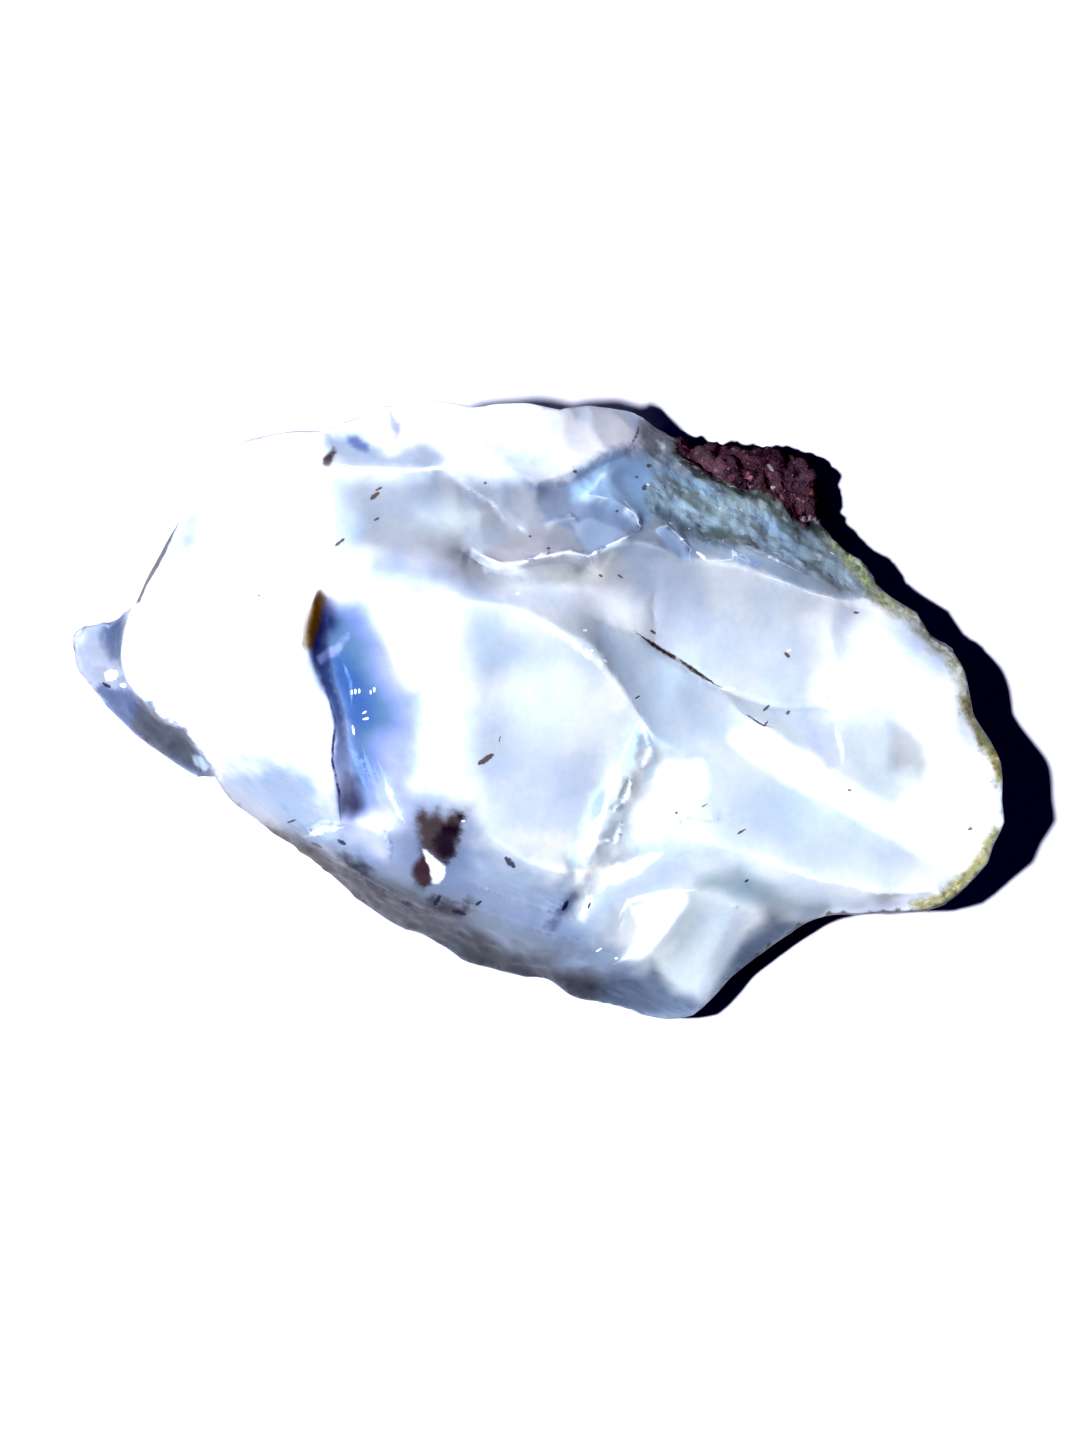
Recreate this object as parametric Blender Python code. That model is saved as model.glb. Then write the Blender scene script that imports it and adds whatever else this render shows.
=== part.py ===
"""A piece of rough white opal: one solid, broken along shell-like fractures.

The stone is drawn as two sheets that meet along its rim. The upper sheet holds what is
seen from above: crests, grooves, flake edges and the rind. The lower sheet holds the flat
fracture that the stone rests on and the faces that rise from it to the rim. Each sheet is
a network of sharp lines, and the faces between them are relaxed like a bent plate, so
that they are smooth inside and meet at crisp edges.

Lengths in the tables are millimetres, as (x, y, height): +X along the stone, +Z up, and
the origin under the middle of the stone on the surface it rests on.
"""

import math

import bmesh
import bpy
import numpy as np
from mathutils import Vector, noise
from mathutils.geometry import delaunay_2d_cdt
from mathutils.kdtree import KDTree

MM = 0.001
SEED = 7
LENGTH = 75.0
WIDTH = 49.4
HEIGHT = 26.2

TOP_STEP = 1.0
UNDER_STEP = 1.8
SPACING = 0.62
LONGEST_EDGE = 2.6
WELD = 0.002
CREASE_ANGLE = 24

JITTER = 0.16
JITTER_SIZE = 2.2
WAVES = 0.35
WAVE_SIZE = 6.0
LINE_SHARE = 0.4
LUMPS = 1.1
LUMP_SIZE = 2.6
GRAINS = 0.5
GRAIN_SIZE = 1.5

BENDING = 1.0
TENSION = 0.02
HOLD = 4.0

FREE, BEND, LINE = 0, 1, 2

RIM = [
    (-37.5, 6.3, 4.5), (-36.3, 7.0, 5.0), (-34.4, 7.2, 6.0), (-32.9, 8.1, 7.2), (-32.0, 8.7, 10.4),
    (-31.2, 10.4, 11.5), (-29.9, 12.8, 12.2), (-28.3, 15.7, 13.0), (-26.8, 18.3, 13.6),
    (-25.4, 20.4, 14.2), (-23.0, 21.6, 15.0), (-20.0, 22.2, 16.0), (-17.2, 22.3, 16.8),
    (-14.8, 23.1, 17.0), (-12.4, 24.1, 17.0), (-9.5, 24.6, 17.0), (-6.8, 24.6, 17.0),
    (-5.0, 24.2, 16.6), (-3.2, 24.5, 16.0), (-0.5, 24.6, 15.2), (1.8, 24.1, 14.0),
    (3.6, 24.5, 11.6), (5.4, 24.4, 9.0), (7.0, 24.2, 6.6), (8.6, 23.7, 4.2), (9.6, 22.9, 3.6),
    (11.2, 22.0, 3.5), (12.4, 21.4, 3.6), (13.6, 21.6, 3.4), (14.6, 21.8, 3.4),
    (15.6, 21.2, 3.4), (17.0, 21.3, 3.4), (18.6, 21.4, 3.3), (20.2, 21.0, 3.1),
    (21.6, 20.3, 3.2), (22.5, 19.0, 4.0), (22.5, 17.2, 4.1), (22.7, 15.6, 4.3),
    (23.6, 14.2, 4.7), (25.0, 12.9, 4.7), (26.6, 11.9, 5.0), (27.3, 10.5, 5.1),
    (28.5, 9.2, 5.6), (30.5, 8.0, 5.4), (31.7, 6.2, 5.7), (33.4, 5.0, 5.3), (34.4, 3.4, 6.4),
    (34.7, 1.6, 7.0), (35.1, -0.2, 6.7), (36.4, -2.2, 6.9), (37.4, -4.6, 8.2),
    (37.3, -7.0, 8.6), (37.5, -8.8, 8.7), (36.7, -10.6, 8.1), (36.1, -12.2, 7.8),
    (34.6, -14.0, 6.6), (33.0, -15.2, 6.6), (31.0, -15.8, 5.6), (27.0, -16.1, 5.7),
    (23.6, -16.4, 5.4), (21.3, -17.3, 4.3), (19.4, -18.4, 4.0), (17.2, -20.1, 3.9),
    (15.5, -21.4, 3.9), (14.2, -22.9, 4.1), (12.6, -24.3, 4.2), (10.8, -24.7, 3.4),
    (8.5, -24.4, 1.8), (5.8, -23.5, 2.2), (3.2, -23.0, 2.6), (0.8, -21.5, 3.0),
    (-2.2, -21.0, 3.2), (-5.0, -20.3, 3.2), (-7.5, -18.8, 3.2), (-10.5, -17.4, 3.2),
    (-12.3, -16.8, 3.2), (-15.0, -14.5, 3.5), (-18.3, -11.8, 4.0), (-21.5, -9.4, 4.6),
    (-24.0, -7.6, 5.2), (-25.3, -6.1, 5.8), (-25.8, -5.2, 6.6), (-27.2, -5.1, 4.4),
    (-30.0, -3.5, 3.8), (-33.0, -1.2, 3.2), (-35.4, 1.3, 3.0), (-36.9, 3.1, 3.2),
    (-37.2, 4.9, 3.8),
]

TOP_EDGES = {
    "edge of the white face": [
        (-32.0, 8.7, 10.4), (-32.9, 6.5, 10.8), (-33.2, 4.3, 10.8), (-32.6, 2.6, 10.6),
        (-31.3, 0.9, 10.4), (-29.8, -0.6, 10.0), (-28.3, -1.4, 9.8), (-27.3, -2.7, 9.0),
        (-26.4, -4.0, 8.0), (-25.8, -5.2, 6.6),
    ],
    "foot of the white face": [
        (-32.9, 8.1, 7.2), (-33.6, 6.6, 6.4), (-34.0, 4.2, 6.0), (-33.3, 2.1, 5.9),
        (-32.0, 0.3, 5.7), (-30.3, -1.3, 5.5), (-28.8, -2.2, 5.3), (-27.8, -3.4, 5.1),
        (-27.2, -5.1, 4.4),
    ],
    "left lip of the groove": [
        (-17.2, 10.2, 25.4), (-18.0, 7.5, 24.7), (-18.2, 5.0, 23.8), (-17.4, 2.8, 22.9),
        (-16.5, 1.0, 21.9), (-16.1, -1.5, 20.8), (-16.2, -4.0, 19.0), (-16.1, -6.5, 16.8),
        (-15.7, -8.8, 14.6),
    ],
    "floor of the groove": [
        (-17.2, 10.2, 25.4), (-16.7, 7.5, 23.7), (-16.5, 5.0, 22.4), (-16.0, 2.5, 21.2),
        (-15.3, 0.0, 20.1), (-15.0, -2.5, 19.0), (-14.9, -5.0, 17.5), (-15.1, -7.3, 15.6),
        (-15.7, -8.8, 14.6),
    ],
    "right crest of the dome": [
        (-1.8, 8.3, 23.6), (0.5, 7.3, 22.8), (2.6, 6.2, 21.8), (4.6, 5.1, 20.6),
        (5.6, 3.6, 19.9), (6.6, 1.9, 19.1), (7.4, 0.5, 18.4), (8.3, -0.6, 17.6),
        (9.3, -1.9, 16.6), (10.4, -2.7, 15.8), (11.6, -3.2, 15.1),
    ],
    "valley": [
        (3.4, 7.9, 20.2), (5.6, 6.9, 18.1), (8.0, 6.1, 16.3), (9.4, 5.2, 15.0),
        (11.5, 3.8, 13.9), (13.2, 2.6, 13.1), (14.6, 1.8, 12.6), (16.5, 1.0, 11.9),
        (18.3, 0.4, 11.3), (20.5, 0.2, 10.8), (23.4, 0.3, 10.4),
    ],
    "diagonal crest": [
        (14.6, 1.8, 12.6), (16.0, 0.2, 12.9), (17.4, -0.9, 13.0), (18.6, -1.6, 13.0),
        (20.5, -2.8, 12.9), (22.8, -4.4, 12.6), (25.2, -6.2, 12.2), (27.2, -7.5, 11.8),
        (29.8, -9.0, 11.2), (32.2, -10.4, 10.4),
    ],
    "edge of the end hollow": [
        (23.4, 0.3, 10.4), (23.9, -1.2, 10.9), (24.5, -3.0, 11.4), (24.3, -4.0, 11.8),
        (25.2, -6.2, 12.2),
    ],
    "edge of the end facet": [
        (24.5, 8.9, 9.6), (23.6, 7.0, 11.2), (23.9, 4.6, 11.4), (24.2, 2.4, 10.9),
        (23.4, 0.3, 10.4),
    ],
    "shoulder of the lobe": [
        (10.9, -8.2, 13.8), (12.0, -9.6, 13.4), (14.0, -10.4, 13.0), (16.6, -11.2, 12.4),
        (19.6, -12.4, 11.6), (22.8, -13.4, 10.6), (26.2, -14.1, 9.6), (29.4, -14.5, 8.8),
        (32.0, -14.2, 8.4),
    ],
    "crest of the white face": [
        (-16.6, 22.4, 16.9), (-16.8, 21.0, 19.6), (-17.0, 19.5, 21.6), (-17.2, 18.0, 22.6),
        (-17.5, 16.0, 23.7), (-17.8, 13.5, 24.9), (-17.7, 11.8, 25.3), (-17.2, 10.2, 25.4),
    ],
    "back of the dome": [
        (-17.2, 10.2, 25.4), (-14.5, 10.0, 25.9), (-11.6, 9.6, 26.2), (-8.6, 8.8, 26.0),
        (-5.6, 8.8, 25.2), (-3.4, 8.6, 24.4), (-1.8, 8.3, 23.6),
    ],
    "crest over the rind": [
        (9.9, 11.0, 16.2), (11.5, 12.1, 15.4), (13.5, 12.1, 14.6), (16.0, 11.7, 13.6),
        (18.0, 11.0, 12.8), (20.0, 10.3, 12.0), (22.0, 9.5, 11.0), (24.5, 8.9, 9.6),
        (26.8, 8.9, 7.6), (28.5, 9.2, 5.6),
    ],
    "side of the pink facet": [
        (9.9, 11.0, 16.2), (9.4, 9.7, 16.3), (9.2, 8.4, 16.1), (9.5, 7.0, 15.7),
        (9.4, 5.2, 15.0),
    ],
    "lip of the pink facet": [
        (3.9, 12.3, 18.8), (5.2, 12.6, 18.0), (6.6, 13.3, 17.4), (7.6, 13.5, 17.0),
        (9.2, 13.2, 16.4), (10.6, 12.7, 15.8), (11.5, 12.1, 15.4),
    ],
    "first flake lip": [
        (-5.8, 13.6, 21.6), (-4.6, 12.5, 21.5), (-3.8, 12.0, 21.3), (-2.4, 11.8, 21.0),
        (-1.0, 12.1, 20.6), (0.6, 12.5, 20.1), (2.6, 12.7, 19.4), (3.9, 12.3, 18.8),
    ],
    "foot of the first flake": [
        (-5.2, 12.2, 21.3), (-4.0, 11.3, 20.8), (-2.4, 11.1, 20.3), (-0.9, 11.4, 19.9),
        (0.8, 11.8, 19.3), (2.6, 11.9, 18.7), (3.8, 11.4, 18.2),
    ],
    "second flake lip": [
        (3.9, 12.3, 18.8), (5.0, 13.2, 18.0), (6.2, 13.9, 17.2), (7.4, 14.3, 16.4),
        (8.4, 14.4, 15.6),
    ],
    "third flake edge": [
        (5.4, 18.9, 15.4), (4.6, 17.9, 16.6), (4.0, 17.2, 17.2), (5.0, 16.9, 17.0),
        (6.0, 17.0, 16.5), (7.0, 16.4, 16.2), (7.8, 15.6, 15.9), (8.4, 14.4, 15.6),
    ],
    "scar under the upper crest": [
        (-7.2, 18.8, 21.2), (-5.6, 17.6, 20.7), (-4.0, 16.8, 20.2), (-3.0, 15.8, 19.8),
        (-1.8, 14.9, 19.5), (-0.6, 13.9, 19.6),
    ],
    "upper crest": [
        (-17.0, 19.5, 21.6), (-14.5, 19.2, 22.0), (-12.0, 19.1, 22.2), (-9.0, 19.2, 22.0),
        (-6.5, 19.4, 21.4), (-4.0, 19.4, 20.6), (-2.2, 19.1, 19.9), (-0.6, 18.5, 19.1),
        (0.6, 18.5, 18.4), (2.2, 18.9, 17.2), (3.8, 19.7, 15.6), (5.2, 20.6, 13.8),
        (6.6, 21.2, 11.8), (7.5, 21.5, 10.2), (8.1, 22.5, 7.6), (7.9, 23.3, 6.6),
        (6.8, 23.9, 7.2), (5.4, 24.4, 9.0),
    ],
    "foot of the upper crest": [
        (1.0, 17.7, 17.8), (2.8, 18.2, 16.4), (4.4, 19.2, 14.6), (5.8, 20.0, 12.9),
        (7.2, 20.6, 11.0), (8.4, 21.4, 8.6), (8.9, 22.5, 6.0), (8.6, 23.7, 4.2),
    ],
    "edge of the grainy band": [
        (8.4, 14.4, 15.6), (10.2, 14.5, 14.6), (12.2, 13.6, 13.8), (14.2, 12.9, 13.0),
        (16.3, 13.1, 11.9), (19.0, 12.2, 10.7), (22.0, 11.0, 9.3), (25.0, 10.0, 7.4),
    ],
    "edge of the host rock": [
        (11.2, 22.0, 3.5), (12.2, 20.7, 5.2), (13.6, 19.5, 6.2), (15.2, 18.4, 6.8),
        (17.0, 17.9, 6.6), (18.6, 17.1, 6.4), (19.9, 16.3, 6.0), (21.2, 15.5, 5.2),
        (22.7, 15.6, 4.3),
    ],
    "shoulder of the lower strip": [
        (-24.0, -7.6, 5.2), (-21.0, -8.3, 9.0), (-18.0, -10.0, 10.6), (-15.0, -12.2, 11.2),
        (-12.0, -14.0, 11.2), (-9.0, -15.4, 10.9), (-6.0, -16.3, 10.5), (-3.0, -17.4, 10.0),
        (0.0, -18.6, 9.4), (3.0, -19.4, 8.8), (6.2, -20.0, 7.8),
    ],
    "lower edge of the dome": [
        (-15.7, -8.8, 14.6), (-13.0, -8.9, 15.6), (-10.5, -8.8, 17.4), (-8.0, -8.6, 18.8),
        (-5.4, -9.0, 19.2), (-3.4, -9.9, 18.7), (-1.6, -11.4, 17.6), (0.6, -12.3, 16.8),
        (2.4, -12.7, 16.2),
    ],
    "top of the hackly step": [
        (8.3, -0.6, 17.6), (6.8, -2.6, 17.5), (5.6, -4.4, 17.2), (4.8, -6.4, 16.8),
        (4.1, -8.4, 16.4), (3.4, -10.6, 16.0), (2.4, -12.7, 15.6),
    ],
    "foot of the hackly step": [
        (8.3, -0.6, 17.6), (9.4, -2.6, 16.0), (9.9, -4.4, 15.2), (10.6, -6.2, 14.4),
        (10.9, -8.2, 13.8), (9.8, -10.2, 13.3), (7.6, -11.8, 12.9), (5.4, -13.6, 12.5),
        (3.6, -15.8, 12.0),
    ],
    "hackles": [
        (8.6, -2.2, 16.8), (7.9, -3.6, 16.6), (8.9, -5.4, 15.2), (7.4, -5.0, 16.5),
        (6.5, -7.0, 16.2), (7.8, -8.6, 14.5), (6.0, -8.2, 16.0), (5.1, -10.2, 15.6),
        (6.0, -11.6, 13.7), (4.2, -11.6, 15.3), (3.6, -13.4, 14.3),
    ],
    "end of the hackly step": [(2.4, -12.7, 15.6), (3.0, -14.4, 13.8), (3.6, -15.8, 12.0)],
    "lip of the scoop": [
        (6.6, -17.6, 9.9), (7.0, -16.2, 10.5), (7.8, -15.2, 10.9), (9.0, -14.7, 11.0),
        (10.6, -14.6, 10.8), (12.3, -14.2, 10.7), (13.8, -14.6, 10.0), (15.4, -15.3, 9.2),
        (17.2, -15.8, 8.4), (19.2, -16.0, 7.4), (21.5, -16.2, 6.4), (23.6, -16.4, 5.4),
    ],
    "first flute": [
        (12.3, -14.2, 10.7), (11.4, -16.0, 9.6), (10.4, -17.6, 8.9), (9.0, -18.8, 8.4),
        (7.6, -19.6, 8.0), (6.2, -20.0, 7.8),
    ],
    "second flute": [
        (15.9, -15.5, 9.0), (15.2, -17.2, 7.4), (14.2, -19.2, 6.2), (13.4, -21.2, 5.2),
    ],
}

TOP_BENDS = [
    # white face
    (-26.5, 9.0, 17.6), (-22.0, 5.0, 20.8), (-24.0, 15.0, 18.2), (-21.0, 0.0, 18.8),
    (-28.0, 3.0, 14.6), (-20.5, 12.5, 22.4), (-20.5, 19.0, 19.2), (-25.0, -2.0, 13.6),
    # where the white face turns down to the lavender slope
    (-24.0, -4.3, 10.8), (-21.5, -4.2, 14.6), (-18.5, -4.6, 17.4), (-19.0, -7.4, 13.2),
    # knob and ledge at the left tip
    (-35.0, 4.8, 5.2), (-36.0, 5.9, 5.0), (-33.0, -0.4, 4.8), (-30.0, -2.6, 4.9),
    # dome
    (-8.0, 5.0, 26.2),
    (-7.4, 1.0, 25.2), (-7.4, -3.0, 23.7), (-7.8, -6.2, 21.4), (-12.0, 4.0, 23.8),
    (-11.8, -1.0, 22.0), (-12.0, -5.0, 19.2), (-3.0, 3.0, 23.2), (-3.0, -3.0, 21.9),
    (-2.2, 0.0, 22.4), (1.5, -0.5, 21.0), (1.0, -6.0, 19.2), (-3.2, -7.0, 20.2), (4.0, 2.0, 20.6),
    # hollow between the white crest and the flakes
    (-14.0, 16.0, 23.4), (-11.0, 15.0, 22.8), (-8.0, 15.2, 22.0), (-6.5, 14.8, 21.7),
    (-3.4, 14.0, 20.6), (-12.0, 12.0, 24.5), (-7.0, 11.4, 23.8), (-2.0, 9.8, 22.2),
    (1.4, 9.6, 20.5), (4.6, 9.4, 18.3), (6.8, 9.0, 17.2),
    (0.4, 14.6, 18.9), (3.2, 14.6, 18.0), (1.8, 16.6, 18.0), (6.8, 18.2, 13.6),
    # facets beside the valley and the flat of the lobe
    (7.4, 4.6, 17.2), (10.0, 1.6, 15.4), (12.5, 8.5, 15.5), (16.0, 6.5, 14.2),
    (20.0, 5.5, 12.7), (15.0, 3.4, 13.5), (20.5, 2.2, 11.8),
    # end of the lobe
    (27.5, -1.8, 9.9), (29.5, -3.6, 9.8), (27.0, 1.6, 10.1), (30.2, 3.4, 9.2),
    # lower face of the lobe
    (13.5, -4.4, 14.4), (16.5, -5.4, 13.6), (15.5, -8.6, 13.2), (21.0, -8.0, 12.4),
    (27.0, -11.2, 10.9), (14.0, -13.0, 10.9), (17.4, -14.0, 9.6), (20.4, -14.9, 8.2),
    # rounded right end
    (27.8, 7.7, 8.4), (30.0, 6.4, 7.7), (32.0, 4.2, 7.9), (33.2, 2.0, 8.3),
    (33.8, -0.6, 8.5), (34.9, -3.2, 8.9), (35.6, -6.0, 9.6), (35.4, -8.8, 9.7),
    (34.4, -11.4, 9.2), (32.4, -13.6, 8.4), (29.2, -15.0, 7.4), (25.6, -15.4, 7.2),
    # grainy band
    (10.4, 18.4, 10.6), (11.2, 16.4, 11.8), (14.6, 15.6, 10.2), (18.2, 14.2, 8.8),
    (22.0, 12.6, 7.3), (10.6, 20.4, 7.4), (13.0, 18.0, 8.6), (17.0, 16.6, 7.6),
    (24.8, 11.6, 5.9),
    # host rock
    (13.8, 20.6, 5.6), (16.0, 19.8, 6.6), (18.4, 19.6, 6.4), (20.6, 18.6, 5.6), (21.3, 17.0, 5.2),
    # lavender slope above the lower strip
    (-12.0, -11.0, 14.0), (-8.0, -12.6, 14.4), (-4.0, -13.6, 14.0), (0.0, -15.0, 13.2),
    (3.4, -17.6, 11.0),
    # slope into the scoop, and the scoop
    (6.6, -14.4, 11.9), (9.4, -12.6, 12.2), (5.4, -17.4, 11.0),
    (8.8, -16.4, 9.5), (8.0, -18.4, 8.4), (13.4, -16.4, 8.0), (12.0, -18.4, 6.9),
    (10.2, -20.0, 6.4), (12.8, -20.0, 5.9), (17.2, -17.4, 6.0), (15.8, -19.6, 4.8),
    (18.6, -17.2, 6.0), (12.8, -22.8, 4.4), (9.4, -21.8, 5.4),
]

ROCK_OUTSIDE = [(26.0, 18.0), (24.0, 24.0), (11.0, 24.0)]
RIND_OUTSIDE = [(29.0, 11.0), (24.0, 24.0), (10.0, 22.0)]

BASE = [
    (-24.6, 3.4), (-23.6, -0.8), (-19.4, -5.6), (-13.6, -8.8), (-7.0, -12.4), (0.2, -15.8),
    (4.4, -19.2), (9.2, -19.8), (12.2, -15.4), (16.2, -9.8), (19.6, -5.2), (20.8, 0.2),
    (17.6, 5.6), (14.2, 10.6), (6.4, 12.2), (-2.0, 11.0), (-12.0, 12.4), (-19.8, 9.4),
]

UNDER_EDGES = {
    "left keel": [(-24.6, 3.4, 0.0), (-29.0, 4.4, 0.9), (-33.4, 5.2, 2.1), (-37.2, 4.9, 3.8)],
    "left notch": [(-19.4, -5.6, 0.0), (-22.8, -5.4, 1.6), (-25.8, -5.2, 6.6)],
    "front rib": [(-13.6, -8.8, 0.0), (-14.8, -11.6, 1.3), (-15.0, -14.5, 3.5)],
    "front heel": [(4.4, -19.2, 0.0), (3.8, -21.2, 1.0), (3.2, -23.0, 2.6)],
    "scoop heel": [(12.2, -15.4, 0.0), (15.6, -17.6, 1.5), (17.2, -20.1, 3.9)],
    "lobe notch": [(16.2, -9.8, 0.0), (20.4, -12.8, 1.8), (23.6, -16.4, 5.4)],
    "lobe keel": [
        (19.6, -5.2, 0.0), (24.8, -8.0, 1.2), (30.4, -10.8, 2.8), (34.6, -14.0, 6.6),
    ],
    "right rib": [(20.8, 0.2, 0.0), (26.2, 1.4, 1.4), (31.4, 1.0, 3.2), (35.1, -0.2, 6.7)],
    "rind rib": [(17.6, 5.6, 0.0), (22.6, 8.8, 1.6), (27.3, 10.5, 5.1)],
    "rock rib": [(14.2, 10.6, 0.0), (18.6, 15.2, 0.9), (21.6, 20.3, 3.2)],
    "back notch": [(6.4, 12.2, 0.0), (8.6, 17.4, 1.2), (9.6, 22.9, 3.6)],
    "back rib": [
        (-12.0, 12.4, 0.0), (-12.6, 15.8, 2.6), (-12.8, 18.8, 6.2), (-12.4, 24.1, 17.0),
    ],
    "left shoulder": [
        (-19.8, 9.4, 0.0), (-22.4, 13.2, 3.2), (-24.2, 17.0, 8.0), (-25.4, 20.4, 14.2),
    ],
    "left cheek": [(-24.6, 3.4, 0.0), (-28.6, 6.8, 2.4), (-32.0, 8.7, 10.4)],
    "first back ledge": [
        (-24.2, 17.0, 8.0), (-21.0, 17.6, 8.4), (-17.0, 18.0, 7.8), (-12.8, 18.8, 6.2),
    ],
    "second back ledge": [
        (-12.6, 15.8, 2.6), (-9.8, 18.4, 6.0), (-6.0, 20.0, 8.2), (-1.6, 20.2, 8.0),
        (3.2, 19.2, 4.4), (8.6, 17.4, 1.2),
    ],
    "ledge under the rock": [(8.6, 17.4, 1.2), (12.4, 18.0, 1.5), (18.6, 15.2, 0.9)],
    "ledge under the rind": [
        (22.6, 8.8, 1.6), (26.4, 7.8, 2.6), (29.4, 5.0, 3.0), (31.4, 1.0, 3.2),
    ],
    "ledge under the lobe": [
        (31.4, 1.0, 3.2), (32.6, -3.0, 3.2), (32.4, -7.0, 3.2), (30.4, -10.8, 2.8),
    ],
}

UNDER_BENDS = [
    (-30.2, 11.6, 7.4), (-27.2, 12.4, 5.0), (-25.4, 8.4, 1.6), (-17.0, 14.4, 3.0),
    (-18.4, 21.0, 13.6), (-21.6, 20.2, 12.2), (-5.0, 15.4, 2.0), (2.4, 15.4, 1.6),
    (-8.0, 22.6, 13.0), (-1.6, 22.8, 11.0), (4.4, 22.4, 7.2), (7.2, 21.4, 4.2),
    (12.6, 14.4, 0.8), (12.6, 20.2, 2.2), (17.0, 19.2, 2.0), (20.6, 14.2, 1.8),
    (22.2, 5.0, 0.9), (29.8, 7.2, 3.9), (32.8, 3.4, 4.2), (26.0, -3.0, 0.9),
    (35.4, -5.0, 5.4), (29.0, -13.2, 3.7), (22.0, -9.4, 1.1), (18.2, -14.0, 2.0),
    (-30.4, 0.4, 1.6), (-24.8, -2.4, 0.7), (-7.4, -15.4, 1.7), (-20.0, -8.4, 1.9),
]

WHITE = (0.86, 0.89, 0.95, 1.0)
GLASSY = 0.25
OPAL_IOR = 1.45


def clear_scene():
    for obj in list(bpy.data.objects):
        bpy.data.objects.remove(obj, do_unlink=True)


def curve_through(points, step, closed=False):
    """Points every step or so along a smooth curve that passes through all the given ones."""
    points = [Vector(p) for p in points]
    count = len(points)
    line = []
    for i in range(count if closed else count - 1):
        here, after = points[i], points[(i + 1) % count]
        before = points[i - 1] if closed or i > 0 else here * 2 - after
        beyond = points[(i + 2) % count] if closed or i + 2 < count else after * 2 - here
        pieces = max(1, round((after - here).xy.length / step))
        for k in range(pieces):
            t = k / pieces
            linear = (after - before) * t
            square = (2 * before - 5 * here + 4 * after - beyond) * t**2
            cube = (3 * here - before - 3 * after + beyond) * t**3
            line.append((2 * here + linear + square + cube) / 2)
    return line if closed else line + [points[-1]]


def roughen(point):
    """The point shifted sideways a little, by the same amount whichever line it is on."""
    shift = noise.noise_vector(Vector((point.x, point.y, 0.0)) / JITTER_SIZE) * JITTER
    return Vector((point.x + shift.x, point.y + shift.y, point.z))


def inside(x, y, outline):
    """Whether a point lies inside a closed outline."""
    crossings = 0
    for here, after in zip(outline, outline[1:] + outline[:1]):
        if (here[1] > y) != (after[1] > y):
            along = (y - here[1]) / (after[1] - here[1])
            crossings += x < here[0] + along * (after[0] - here[0])
    return crossings % 2 == 1


def filling_points(outline, taken, hole, step):
    """A triangular grid of free points inside the outline, clear of the points taken and the hole."""
    tree = KDTree(len(taken))
    for i, point in enumerate(taken):
        tree.insert((point.x, point.y, 0.0), i)
    tree.balance()
    row_height = step * math.sqrt(3) / 2
    reach = LENGTH / 2 + step
    points = []
    for row in range(int(2 * reach / row_height)):
        y = -reach + row * row_height
        for column in range(int(2 * reach / step)):
            x = -reach + (column + 0.5 * (row % 2)) * step
            if not inside(x, y, outline) or (hole and inside(x, y, hole)):
                continue
            if tree.find((x, y, 0.0))[2] > SPACING * step:
                points.append(Vector((x, y, 0.0)))
    return points


def triangulate(rim, lines, bends, hole, step):
    """Plan positions, triangles, heights and kinds of point: on a sharp line, on a bend or free."""
    points, kinds, edges = [], [], []
    for line, closed in [(rim, True)] + lines:
        first = len(points)
        points += line
        kinds += [LINE] * len(line)
        edges += [(first + k, first + k + 1) for k in range(len(line) - 1)]
        if closed:
            edges.append((first + len(line) - 1, first))
    points += bends
    kinds += [BEND] * len(bends)
    outline = [(p.x, p.y) for p in rim]
    free = filling_points(outline, points, hole, step)
    points += free
    kinds += [FREE] * len(free)

    flat, _, faces, sources, _, _ = delaunay_2d_cdt([p.xy for p in points], edges, [], 0, 1e-4)
    flat = np.array([tuple(p) for p in flat])
    faces = np.array([face for face in faces if inside(*flat[face].mean(axis=0), outline)])
    heights = np.zeros(len(flat))
    kind = np.full(len(flat), FREE)
    for i, merged in enumerate(sources):
        if merged:
            first = max(merged, key=lambda k: (kinds[k], -k))
            heights[i], kind[i] = points[first].z, kinds[first]
    return flat, faces, heights, kind


def stiffness(flat, faces):
    """The cotangent stiffness matrix of a flat mesh, and the area that belongs to each point."""
    matrix = np.zeros((len(flat), len(flat)))
    area = np.zeros(len(flat))
    for k in range(3):
        a, b, c = faces[:, k], faces[:, (k + 1) % 3], faces[:, (k + 2) % 3]
        u, v = flat[a] - flat[c], flat[b] - flat[c]
        doubled = np.abs(u[:, 0] * v[:, 1] - u[:, 1] * v[:, 0])
        weight = (u * v).sum(axis=1) / np.maximum(doubled, 1e-9) / 2
        np.add.at(matrix, (a, b), -weight)
        np.add.at(matrix, (b, a), -weight)
        np.add.at(matrix, (a, a), weight)
        np.add.at(matrix, (b, b), weight)
        np.add.at(area, c, doubled / 6)
    return matrix, np.maximum(area, 1e-6)


def relax(flat, faces, heights, kind):
    """Heights of a bent plate that is pinned on the sharp lines and drawn towards the bends."""
    matrix, area = stiffness(flat, faces)
    pinned, bent = kind == LINE, kind == BEND
    energy = TENSION * matrix + HOLD * np.diag(bent.astype(float))
    for i in np.flatnonzero(~pinned):
        near = np.flatnonzero(matrix[i])
        row = matrix[i, near]
        energy[np.ix_(near, near)] += BENDING / area[i] * np.outer(row, row)
    pull = np.where(bent, HOLD * heights, 0.0)[~pinned]
    known = pull - (energy[np.ix_(~pinned, pinned)] * heights[pinned]).sum(axis=1)
    solved = heights.copy()
    solved[~pinned] = np.linalg.solve(energy[np.ix_(~pinned, ~pinned)], known)
    return solved


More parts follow.
